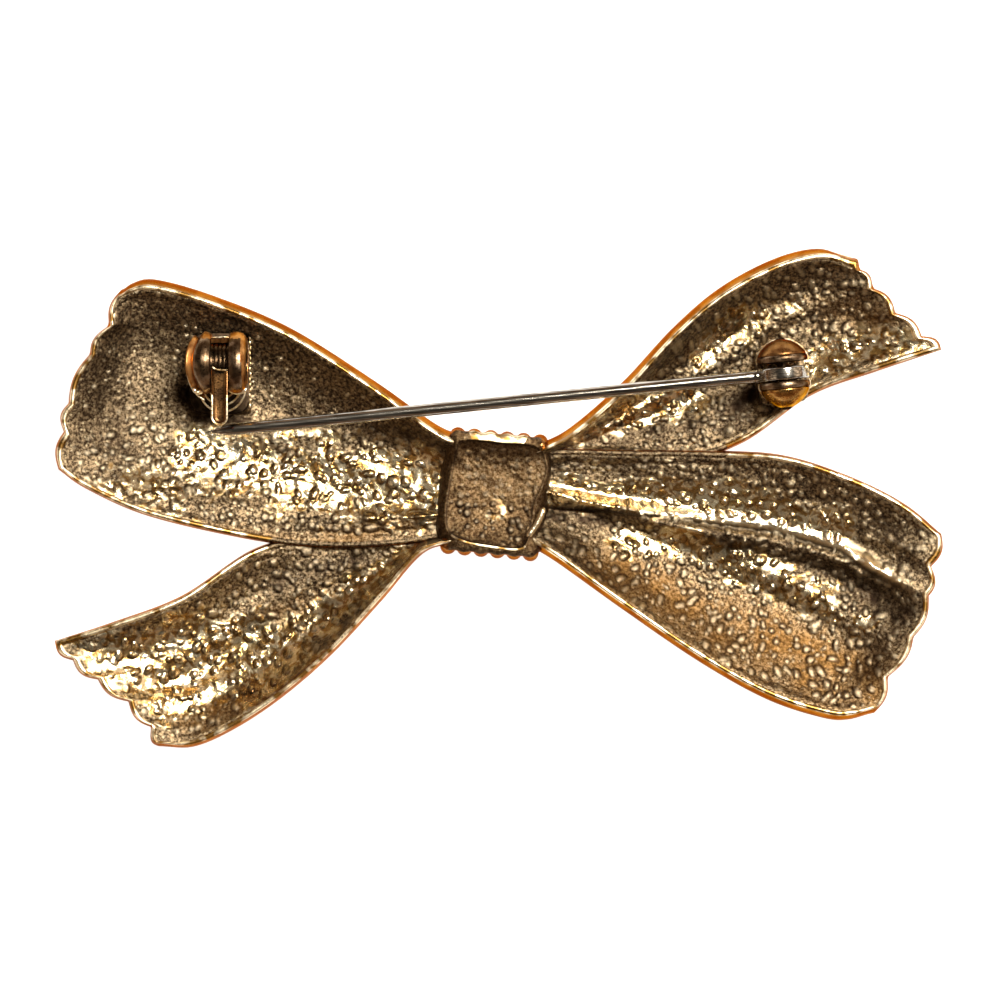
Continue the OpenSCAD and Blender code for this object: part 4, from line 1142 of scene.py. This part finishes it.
def lever_shapes():
    dark, pale, brown = 0, 1, 2
    sleeve = [(-1.85, ROTOR_BORE), (1.85, ROTOR_BORE), (1.85, ROTOR_R)]
    for groove in (0.46, 0.15, -0.15, -0.46):
        sleeve += [(groove + 0.06, ROTOR_R), (groove + 0.02, ROTOR_R - 0.09),
                   (groove - 0.02, ROTOR_R - 0.09), (groove - 0.06, ROTOR_R)]
    sleeve += [(-1.85, ROTOR_R)]
    shapes = [(turned(soften(sleeve, 0.02, 2), catch_place, open_mouth), dark)]
    # the thumb tab: a hollowed tongue with a round end and a thin edge painted pale as a highlight
    half, round_y, root_y = 0.6, -3.9, -0.45
    outline = [(half, root_y), (-half, root_y), (-half, round_y)]
    outline += [(half * math.cos(a), round_y + half * math.sin(a))
                for a in np.linspace(math.pi, 2 * math.pi, 25)[1:]]
    low, high = PIN_Z + 1.2, PIN_Z + 1.68
    tab = stacked(outline, catch_flat, (
        (0.06, low), (0.02, low + 0.03), (0, low + 0.1), (0, high - 0.08),
        (0.03, high - 0.02), (0.08, high - 0.01), (0.14, high - 0.06),
        (0.24, high - 0.14), (0.36, high - 0.18), (0.48, high - 0.19)))
    shapes.append((tab, lambda x, y, z: brown if y < CATCH_AT[1] - 2.1 else dark))
    inner = half - 0.07
    edge = [(inner, -2.35), (inner, -3.2)]
    edge += [(inner * math.cos(a), round_y - inner * math.sin(a)) for a in np.linspace(0, math.pi, 20)]
    edge += [(-inner, -3.2), (-inner, -2.35)]
    shapes.append((bead([catch_flat(x, y, high - 0.03) for x, y in edge], 0.075, 8), pale))
    # a pale step at the tab's root, painted as a highlight
    step = smooth_line([(-0.5, root_y + 0.12), (-0.25, root_y - 0.02), (0.1, root_y - 0.08),
                        (0.5, root_y - 0.1)], 10)
    shapes.append((bead([catch_flat(x, y, high - 0.02) for x, y in step], 0.07, 8), pale))
    return shapes


def hinge_shapes():
    gold, dark, pale, cast, brown = 0, 1, 2, 3, 4
    plate = soften([(-1.75, -2.1), (1.75, -2.1), (1.75, 2.1), (-1.75, 2.1)], 0.7, 8)
    shapes = [(slab(plate, HINGE_SEAT_Z, HINGE_SEAT_Z + BASE_T, hinge_flat, 0.12), cast)]
    # each ear: a dark polished band by the pin's eye, then a dome that falls away outwards
    band = [(0.0, 0.3), (0.0, 1.70), (0.05, 1.80), (0.20, 1.85), (0.38, 1.84), (0.50, 1.74), (0.52, 0.3)]
    dome = [(0.44, 0.3), (0.44, 1.66), (0.52, 1.76), (0.68, 1.72), (0.95, 1.52), (1.25, 1.20), (1.50, 0.82),
            (1.66, 0.40), (1.70, 0.1)]
    cheek = soften([(-1.3, 3.7), (1.3, 3.7), (1.55, 5.4), (1.3, 6.0), (-1.3, 6.0), (-1.55, 5.4)], 0.15)
    # the upper ear's dome is a browner, duller copy of the lower one's gold: painted shade
    for side, start, reach, dome_finish in ((1, 0.82, 1.0, brown), (-1, 0.58, 1.12, gold)):
        for profile, stretch, rounding, finish in ((band, 1, 0.05, dark), (dome, reach, 0.12, dome_finish)):
            profile = [(side * (start + a * stretch), r) for a, r in profile]
            shapes.append((turned(soften(profile, rounding), hinge_place), finish))
        # each ear's edge is painted pale as a highlight
        edge = smooth_line([(-1.84, start + 0.05), (-1.80, start + 0.45), (-1.45, start + 1.05),
                            (-0.75, start + 1.55), (0, start + 1.68), (0.75, start + 1.55),
                            (1.45, start + 1.05), (1.80, start + 0.45), (1.84, start + 0.05)], 48)
        shapes.append((bead([hinge_flat(x, side * y, PIN_Z - 0.25) for x, y in edge], 0.07, 8), pale))
        rings = [[hinge_flat(x, side * y, z) for x, z in drawn_in(cheek, inset)]
                 for y, inset in ((start, 0.05), (start + 0.05, 0), (1.45, 0.05), (1.75, 0.35))]
        shapes.append((loft(rings), gold))
    return shapes


def rivet_shapes():
    bar = [(-2.62, 0.0), (-2.60, 0.2), (-2.48, 0.4), (2.48, 0.4), (2.60, 0.2), (2.62, 0.0)]
    return [(turned(soften(bar, 0.05, closed=False), hinge_place, steps=32), 0)]


def stem_shapes():
    # the wire, its crimp at the eye, and its sharpened tip; along is counted from the hinge
    wire = [(1.2, 0.0), (1.2, 0.4), (1.75, 0.44), (1.95, 0.47), (2.15, 0.42), (2.5, 0.45), (38.0, 0.45),
            (39.9, 0.45), (40.9, 0.26), (41.5, 0.10), (41.68, 0.05), (41.71, 0.0)]
    eye = [(-0.48, 0.0), (-0.48, 1.76), (-0.38, 1.88), (0.38, 1.88), (0.48, 1.76), (0.48, 0.0)]

    def along_wire(along, r, angle):
        return hinge_flat(-along, r * math.cos(angle), PIN_Z + r * math.sin(angle))

    return [(turned(soften(wire, 0.12, closed=False), along_wire, steps=40), 0),
            (turned(soften(eye, 0.12, closed=False), hinge_place), 0)]


forge("catch_barrel", catch_shapes(), [catch_bronze, catch_orange_reflection, pale_highlight_edge, painted_shadow_plate],
      "brooch", "catch_housing")
forge("thumb_lever", lever_shapes(), [lever_bronze, pale_highlight_edge, tab_brown],
      "lever", "catch_lever")
forge("hinge_ears", hinge_shapes(), [hinge_gold, catch_bronze, pale_highlight_edge, cast_back, hinge_shaded_brown],
      "brooch", "hinge_bracket")
# the rivet is painted nearly black as the shadow in the gap between the ears
forge("rivet", rivet_shapes(), [painted_shadow_plate], "brooch", "hinge_rivet")
forge("steel_pin", stem_shapes(), [wire_steel], "pin", "pin_stem")


# Light and ground

# Matt white card; it glows a little so that it stays white beside the bright metal.
GROUND_HALF = 0.6
GROUND_Z = -0.2 * MM
white_card, card_tree = new_finish("white_card")
card = add(card_tree, "ShaderNodeBsdfPrincipled", None, {
    "Base Color": linear("a0a0a0"), "Roughness": 0.9,
    "Emission Color": linear("ffffff"), "Emission Strength": 1.0})
add(card_tree, "ShaderNodeOutputMaterial", None, {"Surface": card.outputs[0]})
ground_mesh = bpy.data.meshes.new("white_ground")
ground_mesh.from_pydata([(GROUND_HALF * x, GROUND_HALF * y, GROUND_Z)
                         for x, y in ((-1, -1), (1, -1), (1, 1), (-1, 1))], [], [(0, 1, 2, 3)])
ground_mesh.materials.append(white_card)
ground = bpy.data.objects.new("white_ground", ground_mesh)
bpy.context.scene.collection.objects.link(ground)


def softbox(name, at, size, power, colour):
    """A soft lamp that points at the middle of the brooch; its place is in millimetres."""
    lamp = bpy.data.lights.new(name, "AREA")
    lamp.shape = "RECTANGLE"
    lamp.size, lamp.size_y = size
    lamp.energy = power
    lamp.color = linear(colour)[:3]
    holder = bpy.data.objects.new(name, lamp)
    x, y, z = (v * MM for v in at)
    holder.location = (x, y, z)
    holder.rotation_euler = (0, math.atan2(math.hypot(x, y), z), math.atan2(y, x))
    bpy.context.scene.collection.objects.link(holder)


softbox("key_lamp", (105, 120, 312), (0.13, 0.13), 3.1, "fff6e8")
softbox("fill_lamp", (-260, -120, 260), (0.2, 0.2), 0.08, "ffe2c0")
softbox("side_lamp", (300, 60, 160), (0.2, 0.12), 0.08, "ffe2c0")

room = bpy.data.worlds.new("dim_room")
room.use_nodes = True
air = room.node_tree
air.nodes.clear()
# the ceiling over the copy stand is dark, and the walls of the room are a little lighter
around = add(air, "ShaderNodeTexCoord")
heading = add(air, "ShaderNodeSeparateXYZ", None, {"Vector": around.outputs["Generated"]})
high = add(air, "ShaderNodeMapRange", None, {"Value": heading.outputs["Z"], "From Min": 0.1, "From Max": 0.9})
room_light = add(air, "ShaderNodeMapRange", None, {"Value": high.outputs[0], "To Min": 0.45, "To Max": 0.05})
room_colour = add(air, "ShaderNodeMix", COLOUR_MIX, {
    0: high.outputs[0], 6: linear("e8a870"), 7: linear("ffe8d0")})
backdrop = add(air, "ShaderNodeBackground", None, {
    "Color": room_colour.outputs[2], "Strength": room_light.outputs[0]})
add(air, "ShaderNodeOutputWorld", None, {"Surface": backdrop.outputs[0]})
bpy.context.scene.world = room
bpy.context.scene.view_settings.view_transform = "Standard"
